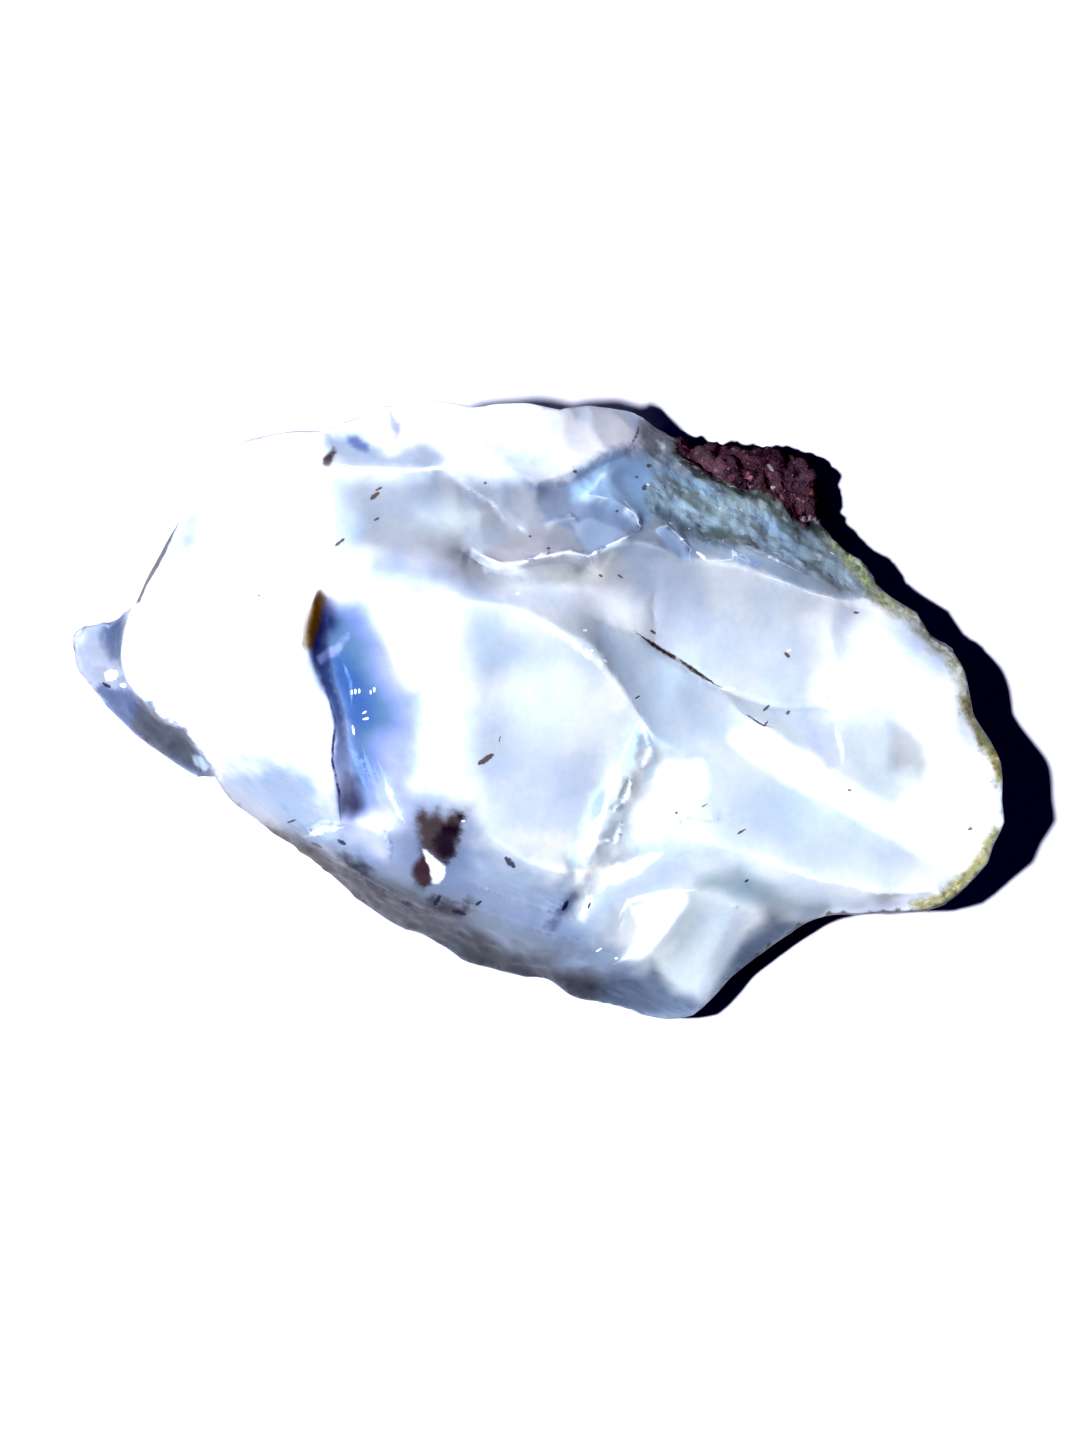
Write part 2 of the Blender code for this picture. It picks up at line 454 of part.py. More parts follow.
def relief(x, y, sharp, rock, rind):
    """Unevenness added to the faces: waves, less of them along the lines, lumps and grains."""
    height = WAVES * noise.noise(Vector((x, y, 4.0)) / WAVE_SIZE)
    if sharp:
        return LINE_SHARE * height
    if inside(x, y, rock):
        height += LUMPS * noise.noise(Vector((x, y, 9.0)) / LUMP_SIZE)
    elif inside(x, y, rind):
        height += GRAINS * noise.noise(Vector((x, y, 6.0)) / GRAIN_SIZE)
    return height


def sheet(rim, edges, bends, base, step):
    """Points and triangles of one sheet of the stone, in millimetres."""
    lines = [([roughen(p) for p in curve_through(e, step)], False) for e in edges.values()]
    hole = None
    if base:
        corners = [roughen(Vector((x, y, 0.0))) for x, y in base]
        hole = [tuple(p.xy) for p in corners]
        lines.append((corners, True))
    flat, faces, heights, kind = triangulate(rim, lines, [Vector(b) for b in bends], hole, step)
    heights = relax(flat, faces, heights, kind)

    rock = plan_of("edge of the host rock") + ROCK_OUTSIDE
    rind = plan_of("edge of the grainy band") + RIND_OUTSIDE
    rim_spots = {(round(p.x, 4), round(p.y, 4)) for p in rim}
    points = []
    for (x, y), z, how in zip(flat, heights, kind):
        on_rim = (round(x, 4), round(y, 4)) in rim_spots
        on_base = base and z < 1e-6 and how == LINE
        if not (on_rim or on_base):
            z += relief(x, y, how == LINE, rock, rind)
        points.append((x, y, z))
    return points, faces.tolist()


def plan_of(name):
    return [(x, y) for x, y, _ in TOP_EDGES[name]]


def closed_stone():
    """The two sheets joined along the rim."""
    rim = [roughen(p) for p in curve_through(RIM, TOP_STEP, closed=True)]
    upper = sheet(rim, TOP_EDGES, TOP_BENDS, None, TOP_STEP)
    lower = sheet(rim, UNDER_EDGES, UNDER_BENDS, BASE, UNDER_STEP)
    stone = bmesh.new()
    for (points, faces), order in ((upper, (0, 1, 2)), (lower, (2, 1, 0))):
        corners = [stone.verts.new(p) for p in points]
        for face in faces:
            stone.faces.new([corners[face[k]] for k in order])
    bmesh.ops.remove_doubles(stone, verts=stone.verts, dist=WELD)
    base_height = min(v.co.z for v in stone.verts)
    stretched = [
        e for e in stone.edges
        if e.calc_length() > LONGEST_EDGE and max(v.co.z for v in e.verts) > base_height + WELD
    ]
    bmesh.ops.subdivide_edges(stone, edges=stretched, cuts=1)
    bmesh.ops.triangulate(stone, faces=stone.faces)
    return stone


def set_size(stone):
    """Brings the stone to its real size, with the origin under its middle."""
    spots = np.array([tuple(v.co) for v in stone.verts])
    low, high = spots.min(axis=0), spots.max(axis=0)
    middle = Vector(((low[0] + high[0]) / 2, (low[1] + high[1]) / 2, low[2]))
    scale = [size / span * MM for size, span in zip((LENGTH, WIDTH, HEIGHT), high - low)]
    bmesh.ops.translate(stone, verts=stone.verts, vec=-middle)
    bmesh.ops.scale(stone, verts=stone.verts, vec=scale)


def opal_material():
    material = bpy.data.materials.new("white_opal")
    material.use_nodes = True
    shader = material.node_tree.nodes["Principled BSDF"]
    shader.inputs["Base Color"].default_value = WHITE
    shader.inputs["Roughness"].default_value = GLASSY
    shader.inputs["Metallic"].default_value = 0.0
    shader.inputs["IOR"].default_value = OPAL_IOR
    return material


def build_opal():
    stone = closed_stone()
    set_size(stone)
    mesh = bpy.data.meshes.new("opal")
    stone.to_mesh(mesh)
    stone.free()
    mesh.shade_smooth()
    mesh.set_sharp_from_angle(angle=math.radians(CREASE_ANGLE))
    opal = bpy.data.objects.new("opal", mesh)
    bpy.context.scene.collection.objects.link(opal)
    opal.data.materials.append(opal_material())


def main():
    noise.seed_set(SEED)
    clear_scene()
    build_opal()


if __name__ == "__main__":
    main()
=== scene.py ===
"""The looks of a piece of rough white opal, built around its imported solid.

The solid gives the stone its size and its main forms. This script subdivides a copy of it,
adds the finer relief (flake edges, scallops, ripples, lumps and grains) and dresses it with
procedural materials. Marks are named outlines, lines and spots, in millimetres as the stone is
seen from above: +X along the stone, +Y across it. Colours are sRGB, from 0 to 255.
"""

import math
from collections import namedtuple

import bmesh
import bpy
import numpy as np
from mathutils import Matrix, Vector, noise


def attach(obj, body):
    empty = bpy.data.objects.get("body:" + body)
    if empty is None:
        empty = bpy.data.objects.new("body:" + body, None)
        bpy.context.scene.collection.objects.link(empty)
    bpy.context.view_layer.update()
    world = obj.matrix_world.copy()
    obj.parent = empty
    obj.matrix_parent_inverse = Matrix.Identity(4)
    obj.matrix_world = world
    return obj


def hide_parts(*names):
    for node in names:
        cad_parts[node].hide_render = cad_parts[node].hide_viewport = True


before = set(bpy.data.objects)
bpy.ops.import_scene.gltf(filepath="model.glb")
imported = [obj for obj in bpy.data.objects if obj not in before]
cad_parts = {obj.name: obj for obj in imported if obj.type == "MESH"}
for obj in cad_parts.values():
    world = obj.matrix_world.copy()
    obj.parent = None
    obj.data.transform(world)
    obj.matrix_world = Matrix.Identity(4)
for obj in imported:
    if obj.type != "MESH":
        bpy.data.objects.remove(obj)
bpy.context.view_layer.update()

MM = 0.001
NODE = "opal"
SEED = 7

# The finer mesh: points closer than WELD are joined, edges turn from soft to crisp between two
# angles in degrees, and points within SNAP of a flake's edge move onto it, unless the surface is
# too steep for it. Lengths are in mm.
WELD = 0.002
SUBDIVISIONS = 2
SOFT_EDGE, CRISP_EDGE = 12.0, 22.0
SNAP, SNAP_SLOPE = 0.13, 0.45

# A surface whose normal's height is over UPPER_NORMAL counts as the upper side. FAR stands for
# any depth or distance beyond the reach of a mark.
UPPER_NORMAL = -0.1
FAR = 4.0

# A patch: how much of it shows, how far its edge fades and how far its edge wanders, in mm.
Patch = namedtuple("Patch", "colour cover soft wobble outline")
# A flake's edge: how high it stands and how far it runs out, in mm, with the raised side left.
Ledge = namedtuple("Ledge", "height reach line")
# Lines or specks of one colour. A line has a half width. A speck has a middle, half a length,
# half a width, all in mm, and a turn in degrees.
Group = namedtuple("Group", "colour cover marks")
Mark = namedtuple("Mark", "width line")
Spot = namedtuple("Spot", "x y reach waist turn")
# Where the fracture broke into small scallops, this wide and deep, in mm.
Scallops = namedtuple("Scallops", "size depth outline")
# Grains of relief: lumps and grit, each with its size and height in mm, and a lump's mean level.
Grains = namedtuple("Grains", "lump lump_height level grit grit_height")
# The names of the patches and lines, and the spots of each group, that an area shows.
Marks = namedtuple("Marks", "patches lines specks")

# Patches of colour, laid over the white one after another.
PATCHES = {
    "right_tint": Patch((197, 203, 208), 1.0, 2.4, 2.0, [
        (33, -14), (30, -15.4), (24, -19.4), (18, -24.6), (12, -29), (6, -28), (1, -22.4), (-4, -15),
        (-6, -10), (-4.2, -1), (-4.4, 2), (-5.6, 4.6), (-7.8, 6.6), (-8.6, 8.4), (-5.4, 9), (-2, 8.8),
        (1, 9.2), (6, 11), (9, 15), (16, 14), (24.6, 10.4), (23.2, 2), (24.6, 0.6), (27.6, 1.4),
        (31.6, -1.8), (31.8, -5), (30, -7.4), (32.6, -11.6),
    ]),
    "left_cyan": Patch((148, 160, 164), 0.85, 2.0, 1.8, [
        (-29, 14.4), (-26, 15.6), (-23, 15.2), (-19.6, 14), (-18.4, 12.4), (-21, 11), (-28.6, 12.6),
    ]),
    "left_rim_blue": Patch((132, 142, 164), 0.75, 1.8, 1.4, [
        (-25.6, 21.4), (-26.6, 17.6), (-26.4, 15.8), (-28, 13.6), (-30.4, 12.6), (-31.4, 13.2),
        (-28.4, 19.4),
    ]),
    # Painted shade on the face just beyond the upper crest, where the crest shades it.
    "beyond_crest_shade": Patch((154, 166, 184), 0.9, 1.0, 0.9, [
        (-6.8, 19.9), (-8.5, 19.2), (-12.8, 19.1), (-16.3, 19.9), (-16.9, 21), (-16.7, 22), (-14.5, 22.2),
        (-13.6, 22), (-11.6, 20.5), (-10.4, 21.3), (-8.8, 21.5), (-7.2, 20.8),
    ]),
    "crest_streak": Patch((152, 156, 191), 0.9, 0.5, 0.4, [
        (-11.8, 24.3), (-11.2, 23.4), (-10.6, 23), (-10.5, 22.2), (-11.2, 21.4), (-11.6, 22.4),
    ]),
    "crest_core": Patch((107, 124, 166), 0.9, 0.3, 0.4, [
        (-15, 21.9), (-14.2, 21.9), (-13.4, 21.2), (-13.4, 20.7), (-14.2, 20.8), (-14.9, 21.3),
    ]),
    "crest_amber": Patch((60, 36, 10), 0.95, 0.2, 0.3, [
        (-16.1, 20.9), (-15.8, 20.6), (-16.5, 19.3), (-16.95, 19.6), (-16.8, 20.2),
    ]),
    "crest_end": Patch((249, 249, 249), 0.9, 0.7, 0.5, [
        (8, 22.9), (7.5, 21.9), (6.8, 21.2), (5.6, 21), (4, 19.6), (3.6, 21.6), (4.6, 22.8), (4.9, 24.4),
        (6.8, 23.9),
    ]),
    # Painted shade on the scoop below the upper crest, which slopes away from the lamp.
    "scoop_shade": Patch((145, 152, 164), 0.9, 1.5, 1.0, [
        (-16.4, 18.9), (-2.4, 19), (-0.4, 18.2), (9.4, 19), (11, 15.4), (13.4, 13.2), (12, 11.9),
        (9.8, 11.4), (9, 8.8), (7.4, 8.4), (3, 10.2), (0, 10.8), (-12, 11.8), (-14.6, 12.8), (-16.2, 14.4),
        (-16.8, 16),
    ]),
    "hollow_left_white": Patch((207, 223, 238), 0.5, 1.6, 1.4, [
        (-17.6, 19), (-15.4, 18), (-14, 12.4), (-12, 10.6), (-15, 10), (-17.6, 12),
    ]),
    # Painted shade in the hollow under the first flake's lip.
    "under_lip_shade": Patch((117, 116, 113), 0.6, 0.9, 0.8, [
        (-6.6, 12.6), (-4.6, 12.9), (-2.4, 12.4), (-2.6, 11.8), (-4.6, 11.6), (-6.2, 12),
    ]),
    # Painted highlight where the scoop's floor turns flatter towards the lamp.
    "scoop_highlight": Patch((197, 206, 211), 0.8, 1.4, 1.2, [
        (-9.6, 16.2), (-7, 16.8), (-4.8, 15.6), (-4.6, 14.2), (-7.6, 13.8), (-9.8, 14.8),
    ]),
    "hollow_shade": Patch((158, 168, 183), 0.7, 0.8, 0.8, [
        (-2.4, 14.2), (-3, 13.2), (-4.6, 12.7), (-5.6, 13.4), (-5.6, 14.6), (-3.6, 15),
    ]),
    "dome_hollow": Patch((177, 188, 203), 0.85, 3.0, 2.2, [
        (-1, 6.4), (0.8, 4.8), (0.4, 2.4), (-2.2, 1.6), (-3.4, -5), (-5.4, -4.6), (-5.9, 4), (-5.5, 6.6),
    ]),
    "dome_white": Patch((217, 220, 235), 0.5, 1.8, 1.2, [
        (7.4, -1.4), (5.4, -2.8), (-1, -1.6), (-2.6, -0.2), (-2.6, 1.6), (-1.6, 3.6), (2, 4.2), (5, 2.8),
        (6.8, 0.4),
    ]),
    "dome_low": Patch((190, 198, 212), 0.9, 0.5, 0.6, [
        (4.6, -3.6), (4.4, -6), (3.6, -8), (2.8, -9.4), (-0.6, -9.6), (-4, -9.2), (-4, -3.4), (0, -3.2),
    ]),
    "dome_foot": Patch((198, 202, 205), 0.8, 0.6, 0.8, [
        (3, -11.4), (1.6, -12.4), (-2, -12), (-5.2, -10.8), (-4.6, -9.6), (2.6, -10),
    ]),
    # Blue-grey of the chipped area: partly the translucent opal's own tint, partly painted shade from the
    # crest above.
    "chips": Patch((134, 148, 171), 0.9, 0.7, 1.2, [
        (10.2, 20.6), (10.4, 18), (9.4, 15.6), (8.2, 14.5), (5, 13.4), (2, 13), (0.2, 14.4), (0.4, 16.4),
        (-0.8, 18.2), (1.6, 18.2), (6, 20.9), (8.2, 21.2),
    ]),
    "chips_deep": Patch((166, 200, 229), 0.8, 0.9, 1.2, [
        (9.4, 20.4), (9.6, 18), (8.8, 15.4), (5.6, 17.2), (3, 17), (2.6, 18), (6.2, 20.6),
    ]),
    # Painted highlight along the soft crest behind the dome.
    "saddle_highlight": Patch((212, 216, 224), 0.9, 1.6, 1.0, [
        (-6, 10.6), (-2, 10.8), (6, 9.4), (8.4, 8.2), (7.6, 6.9), (5, 6.6), (-5, 9.6),
    ]),
    # Painted shade under the flakes' lips.
    "under_flake_shade": Patch((161, 164, 167), 0.85, 0.6, 0.6, [
        (7, 12), (4.8, 10.5), (1.6, 10.5), (-1, 10.9), (-1, 11.7), (2.4, 12.5), (4.2, 11.9), (6, 12.9),
    ]),
    "hollow_low": Patch((163, 171, 189), 0.8, 1.5, 1.2, [
        (-14, 12.6), (-4, 12), (-3.6, 10.2), (-8, 10), (-13, 10.8),
    ]),
    "first_flake": Patch((156, 159, 169), 0.85, 0.25, 0.3, [
        (-4.4, 12.4), (-2.8, 12), (-1, 12), (2.6, 12.9), (4.2, 12.3), (2.6, 14.6), (0.8, 15.2),
        (-0.8, 14.2), (-2.8, 13.4),
    ]),
    "second_flake": Patch((161, 174, 192), 0.85, 0.2, 0.3, [
        (7.4, 14.1), (6, 14.8), (4.2, 15.4), (2.8, 15), (3.6, 13.2), (4.3, 12.6),
    ]),
    "third_flake": Patch((200, 220, 244), 0.3, 0.35, 0.3, [(3.9, 17.3), (5.8, 17), (5.9, 18.2), (5.3, 19)]),
    "flake_shade": Patch((184, 188, 191), 0.8, 0.5, 0.4, [
        (-6.2, 12.2), (-2, 11), (0.8, 11.2), (3.4, 10.9), (4.8, 11.4), (6, 12.6), (5, 10.2), (-3, 10.3),
        (-6, 11),
    ]),
    "pink_facet": Patch((182, 188, 197), 0.95, 0.3, 0.35, [
        (9.8, 11.2), (12, 12), (16, 11.6), (20, 10.1), (27, 8), (28, 5), (26, 1.8), (22, 0.6), (18, 1),
        (15, 2.2), (12, 4), (9.6, 5.6), (9.2, 8.4),
    ]),
    "facet_lavender": Patch((145, 154, 171), 0.85, 2.2, 1.4, [
        (12.6, 11.8), (12.8, 8.8), (10, 4.8), (8.8, 5), (8.6, 11.2), (10.4, 12.2),
    ]),
    "facet_white": Patch((241, 243, 249), 1.0, 3.6, 2.6, [
        (24.6, 10.2), (27.4, 9.4), (30.6, 6), (29, 1.6), (26.6, 0.2), (23.2, 2.4), (25.2, 4), (23.8, 6.4),
        (25.8, 8.2),
    ]),
    "valley_side": Patch((206, 217, 228), 0.95, 0.4, 0.4, [
        (4.4, 7.2), (8, 5.9), (11, 3.8), (17, 0.2), (18.4, -1.2), (12.4, -3), (10, -2.8), (7, 2),
    ]),
    "valley_pale": Patch((182, 190, 199), 0.8, 1.6, 1.2, [
        (18.4, -0.8), (17, -3), (10.4, -3), (10.2, -0.6), (11.6, 2), (15, 1.8),
    ]),
    "lobe_plane": Patch((171, 181, 193), 0.9, 2.2, 1.8, [
        (11.6, -3.6), (15, -3.4), (18.6, -4.6), (30, -11.2), (28, -12.6), (22, -12.2), (15, -10.2),
        (12.6, -8.2),
    ]),
    # Painted highlight on the lobe's diagonal crest, which faces the lamp.
    "lobe_crest_highlight": Patch((244, 246, 249), 0.95, 0.9, 1.0, [
        (16, -1.8), (18, -1.2), (24.6, -5.4), (28, -7.2), (34, -11.4), (32, -11.6), (17.4, -3.4),
    ]),
    "step_white_high": Patch((203, 225, 241), 0.7, 0.5, 1.3, [
        (8.4, -0.8), (9.4, -2.6), (8.2, -3), (7.4, -4.6), (6.2, -6), (5, -8), (3.6, -11.8), (3, -12.4),
        (2.6, -11), (3.6, -9.4), (4.6, -6.4), (7.2, -2),
    ]),
    "step_white_right": Patch((237, 246, 249), 0.9, 0.9, 1.2, [
        (13, -6), (11.6, -7.2), (10, -6.6), (9.4, -5.2), (10.2, -4.2), (12.4, -4.4),
    ]),
    "step_white_low": Patch((237, 246, 249), 0.6, 1.0, 1.4, [
        (9.4, -6.6), (10.6, -8.4), (9.6, -10.2), (7.6, -10.8), (6.6, -9.6), (7, -8),
    ]),
    # Painted shade in the hollow at the right end, deepest in its core.
    "end_hollow": Patch((191, 197, 203), 0.9, 1.0, 1.2, [
        (24, 1.6), (27, 1.4), (29.4, 0.2), (31.4, -1.8), (32, -4.2), (31, -6.4), (28.4, -7.4), (26, -6.2),
        (24.8, -4.6), (24, -1.2),
    ]),
    "end_core_shade": Patch((157, 162, 168), 0.8, 0.8, 1.2, [
        (28.2, -1), (30.2, -1.2), (31.4, -2.6), (31.6, -4.2), (30.8, -5.4), (28.2, -4.6), (28, -3),
    ]),
    "valley_white": Patch((172, 181, 215), 0.5, 0.5, 0.8, [
        (23.6, 1.4), (24.3, -4.4), (23.2, -4.6), (20.6, -0.4), (21.6, 0.6),
    ]),
    "fillet": Patch((182, 191, 202), 0.9, 0.8, 0.8, [
        (29, -15.2), (28, -16.6), (18, -15.6), (12.6, -13.8), (8, -14.4), (6.6, -15.4), (6.2, -17.6),
        (4, -17.2), (4, -16.2), (5, -15), (5, -14.2), (12, -10.6), (14.2, -11), (15.4, -12.2),
        (18.6, -13.4), (23, -14.4),
    ]),
    "fillet_core": Patch((139, 154, 162), 0.85, 1.0, 0.8, [
        (13, -13.6), (16.2, -12.2), (20, -14.8), (23, -15.6), (22, -16.4), (18, -15.6),
    ]),
    "fillet_white": Patch((249, 249, 244), 0.85, 0.35, 0.6, [
        (10, -11.2), (8, -12.8), (5.6, -13.8), (4.4, -14.8), (3.8, -16.8), (3, -16.2), (3.2, -14.4),
        (3, -12.6), (4.6, -12.2), (7, -12),
    ]),
    # Painted highlight on the flute's facet, which faces the lamp.
    "flute_highlight": Patch((234, 246, 249), 0.95, 0.3, 0.4, [
        (12, -14.6), (12.2, -15.6), (11.2, -17.2), (9.6, -18.8), (8.4, -19.8), (7, -20.2), (6.4, -19.8),
        (8, -18.4), (8.2, -17), (7.6, -15.6), (9.6, -14.8),
    ]),
    "lower_slope": Patch((138, 153, 173), 0.95, 1.8, 2.2, [
        (-28, -5.4), (-25, -3.8), (-21, -3.2), (-17, -5.4), (-15.6, -8.8), (-9.4, -8.4), (-5.4, -9.6),
        (-1.6, -12), (2.4, -13.2), (3.4, -16), (7.6, -20), (6, -28), (-10, -25), (-24, -15),
    ]),
    "slope_blue": Patch((126, 139, 163), 0.85, 1.2, 1.2, [
        (-16.6, -10.4), (-9.6, -9.2), (-6.4, -10.2), (-5.4, -12.8), (2, -17), (4, -19), (0, -18.6),
        (-5, -17), (-14, -12.8),
    ]),
    "slope_deep": Patch((121, 132, 144), 0.85, 0.9, 1.0, [
        (-15.4, -11.8), (-12, -12.4), (4.4, -19.2), (2, -19.6), (-4, -18), (-13, -14.2),
    ]),
    "slope_patch_left": Patch((160, 181, 204), 0.8, 0.4, 0.7, [
        (-18.6, -9.2), (-16.6, -8.8), (-15.4, -9.4), (-16.4, -10.2), (-18, -10.4),
    ]),
    "slope_patch_right": Patch((179, 184, 206), 0.6, 0.8, 1.0, [
        (-14.4, -8.8), (-12.6, -9), (-11.8, -10.4), (-12.2, -11.8), (-13.6, -11), (-14.6, -9.8),
    ]),
    # The steep lower side: its dark grey is painted shade, as it faces away from the lamp, with real
    # striations in its streaks.
    "strip": Patch((59, 60, 61), 0.9, 1.3, 1.1, [
        (7, -28), (-1, -27), (-9, -24), (-20, -17), (-28, -10), (-26, -6.6), (-15, -11.7), (-3.6, -18.2),
        (6.6, -22),
    ]),
    "slope_lilac": Patch((172, 172, 177), 0.85, 1.0, 1.0, [
        (-20.6, -8.8), (-21.6, -10.4), (-24, -11.6), (-29, -9), (-28, -6.2), (-25.6, -5.6), (-22.8, -7),
    ]),
    # The darkest painted shade on the lower side.
    "strip_dark": Patch((62, 71, 78), 0.8, 0.9, 1.0, [
        (10, -23.4), (6, -28), (-6, -25), (-14, -19), (-13, -15.6), (-7, -17.4), (0, -20.4), (4, -21.4),
        (8, -22),
    ]),
    "strip_olive": Patch((63, 63, 56), 0.85, 0.7, 0.7, [
        (-15.4, -13), (-17, -14.6), (-20.4, -12.2), (-23, -9.6), (-21.6, -8.9), (-16.4, -11.8),
    ]),
    "toe": Patch((92, 107, 127), 0.9, 1.0, 0.9, [
        (22.4, -16.7), (19, -19), (12.4, -25.4), (8, -25.6), (5, -24), (5.8, -21.2), (8.2, -20.8),
        (9.4, -20.2), (11.2, -22.2), (13, -22.8), (16.4, -18.6), (18.4, -17.2), (18.8, -16.3),
    ]),
    "scoop_pale": Patch((180, 190, 197), 0.9, 0.6, 0.3, [
        (15.6, -15.4), (16, -16.2), (14.6, -18.6), (13.6, -21), (12.8, -22), (11.6, -21.8), (10.4, -20.6),
        (10, -19.8), (11.4, -18.4), (13.4, -14.5),
    ]),
    "scoop_grey": Patch((187, 196, 200), 0.9, 0.35, 0.3, [
        (13.7, -14.5), (12.8, -16.2), (11.8, -17.6), (10.8, -18.8), (9.6, -19.6), (9.2, -19), (11.5, -16),
        (12.2, -15), (12.5, -14.3),
    ]),
    "outer_flute": Patch((182, 190, 199), 0.9, 0.6, 0.3, [
        (15.6, -15.4), (16.9, -15.9), (16.8, -17), (14.4, -22), (13.6, -23), (13.2, -21.6), (15.2, -17.4),
    ]),
    "window_glow": Patch((100, 111, 178), 0.75, 1.6, 1.0, [
        (-16.6, 9.4), (-13.8, 9), (-11.4, 6.4), (-10, 3.4), (-8.6, 1.8), (-8.4, -0.8), (-9.6, -5.6),
        (-9.4, -8.4), (-15.6, -8.8), (-16.4, 1), (-17.8, 5),
    ]),
    "window": Patch((89, 120, 146), 0.9, 1.6, 0.9, [
        (-15, 8.2), (-13, 5.6), (-12.2, 2.8), (-10.9, 0.8), (-10.8, -1), (-12.4, -2.4), (-13.6, -7.4),
        (-14.6, -8.2), (-15.8, 0), (-17.8, 4.8), (-17, 8),
    ]),
    "window_deep": Patch((71, 103, 152), 0.8, 1.1, 1.0, [
        (-16.6, 4.6), (-14.9, 4.4), (-12.9, 1.2), (-12.7, -0.6), (-14, -2), (-14.6, -4.6), (-15.4, -4.4),
        (-15.7, -1), (-16.6, 2),
    ]),
    "window_bright": Patch((161, 179, 227), 0.5, 0.7, 0.8, [
        (-12.4, -5), (-11.6, -5.2), (-10.2, -8.4), (-11.2, -8.6), (-12, -7.2),
    ]),
    "inclusion_halo": Patch((117, 130, 154), 0.85, 1.5, 1.0, [
        (-10.8, -6.2), (-8.8, -5.8), (-5, -7.4), (-4.4, -9.4), (-5.2, -12.8), (-8, -13.6), (-10.4, -12.8),
        (-11, -9.4),
    ]),
    "violet_band": Patch((142, 153, 178), 0.9, 0.8, 0.8, [
        (-15.9, -0.6), (-14.9, -0.8), (-14.6, -3.6), (-14.5, -7.8), (-15.5, -8.8), (-16.2, -3.2),
    ]),
    "violet_core": Patch((44, 42, 72), 0.85, 0.8, 1.2, [
        (-15, -4.9), (-14.4, -5.3), (-13.9, -7.7), (-14.5, -8.2), (-15.2, -7.6),
    ]),
    "navy": Patch((30, 41, 91), 0.95, 0.8, 0.5, [
        (-17, 9.5), (-16.2, 8.9), (-15.8, 7.2), (-17, 4.4), (-16.9, 2.8), (-16.5, 1.4), (-17.2, 2),
        (-18.4, 5.4), (-18, 7.6),
    ]),
    "window_veil": Patch((150, 159, 194), 0.8, 0.25, 0.5, [
        (-14.6, 6.2), (-15.6, 4.6), (-16.4, 4.4), (-17, 3.9), (-17.2, 4.4), (-16.6, 5), (-15.8, 5.4),
        (-14.9, 6.4),
    ]),
    "amber": Patch((95, 73, 12), 0.95, 0.3, 0.2, [
        (-17, 9.7), (-16.6, 9), (-17.7, 5), (-18.5, 5), (-18.4, 6.6), (-17.8, 8.6),
    ]),
    "inclusion": Patch((72, 63, 61), 0.95, 0.5, 0.8, [
        (-5.7, -7.9), (-6.3, -10.4), (-6.9, -11.6), (-7.6, -12), (-9.2, -10.9), (-9.6, -8.2), (-8.9, -7.6),
        (-8.6, -8.3), (-7.8, -7.6), (-7.3, -8.5), (-6.5, -7.6),
    ]),
    "inclusion_core": Patch((26, 20, 38), 1.0, 0.4, 0.8, [
        (-5.8, -7.9), (-6, -9.6), (-6.5, -11), (-7.1, -11.8), (-7.9, -11.4), (-8.3, -10.6), (-7.8, -9.4),
        (-6.8, -8.8),
    ]),
    "inclusion_foot": Patch((62, 46, 50), 0.95, 0.35, 0.5, [
        (-9, -11.2), (-8.2, -11.6), (-8, -12.6), (-8.4, -13.6), (-8.9, -14.1), (-9.6, -13.6), (-9.9, -12.8),
        (-9.6, -11.9),
    ]),
    "inclusion_glint": Patch((249, 249, 244), 1.0, 0.2, 0.4, [
        (-9, -10.9), (-8.7, -11), (-7.4, -12.3), (-7.3, -13.1), (-7.8, -13.6), (-8.3, -13.5), (-8.4, -12.6),
    ]),
    "slope_smudge": Patch((62, 59, 67), 0.8, 0.5, 1.2, [
        (-8.3, -14.6), (-7.9, -15.3), (-7, -15.2), (-6, -15.6), (-5.2, -14.8), (-5, -15.8), (-6.4, -16.3),
        (-8.5, -15.8),
    ]),
    "foot_smudge": Patch((76, 85, 118), 0.7, 0.5, 1.2, [
        (3, -14.4), (2.9, -15.4), (2.2, -16.8), (1, -17.5), (1.1, -16.4), (1.9, -15.2),
    ]),
    "left_smudge": Patch((22, 24, 42), 0.75, 0.6, 1.1, [
        (-15.6, -11.4), (-14.2, -11.9), (-13, -13), (-12, -14.5), (-13.2, -14.9), (-14.8, -13.2),
    ]),
    "ragged_low": Patch((176, 186, 195), 0.9, 0.2, 0.6, [
        (4, -11.2), (4.4, -9.8), (4.8, -8.8), (5.6, -8.4), (6.8, -8.8), (6.8, -9.6), (6.4, -10.3),
        (4.8, -10), (4.4, -11),
    ]),
    "ragged_left": Patch((164, 178, 194), 0.8, 0.25, 0.6, [
        (5.4, -6), (5.6, -6.6), (5.2, -7.8), (4.3, -9.2), (4.1, -8.6), (4.6, -7),
    ]),
    "ragged_far": Patch((176, 190, 200), 0.8, 0.25, 0.6, [
        (8.8, -3), (9.6, -3.4), (9.3, -5.4), (8.4, -5.4),
    ]),
    "ragged_mid": Patch((157, 168, 177), 0.9, 0.2, 0.6, [
        (7, -5), (7.6, -5.6), (7.4, -6.6), (6.6, -7.8), (5.9, -7.6), (6.6, -6.4),
    ]),
    "ragged_high": Patch((166, 175, 184), 0.9, 0.2, 0.6, [
        (8.6, -1.4), (9, -2.4), (8.8, -4), (8.3, -4.6), (7.8, -3.6), (8.1, -2),
    ]),
    "left_rim_dark": Patch((20, 18, 24), 1.0, 0.12, 0.15, [
        (-32.8, 8.4), (-31.7, 8.8), (-31.2, 9.9), (-30.4, 11.2), (-29.7, 12.5), (-29.1, 13.8),
        (-28.6, 15.2), (-30, 15.6), (-31.6, 12.4), (-33.4, 9.6),
    ]),
    "left_ledge": Patch((124, 134, 152), 0.9, 0.4, 0.4, [
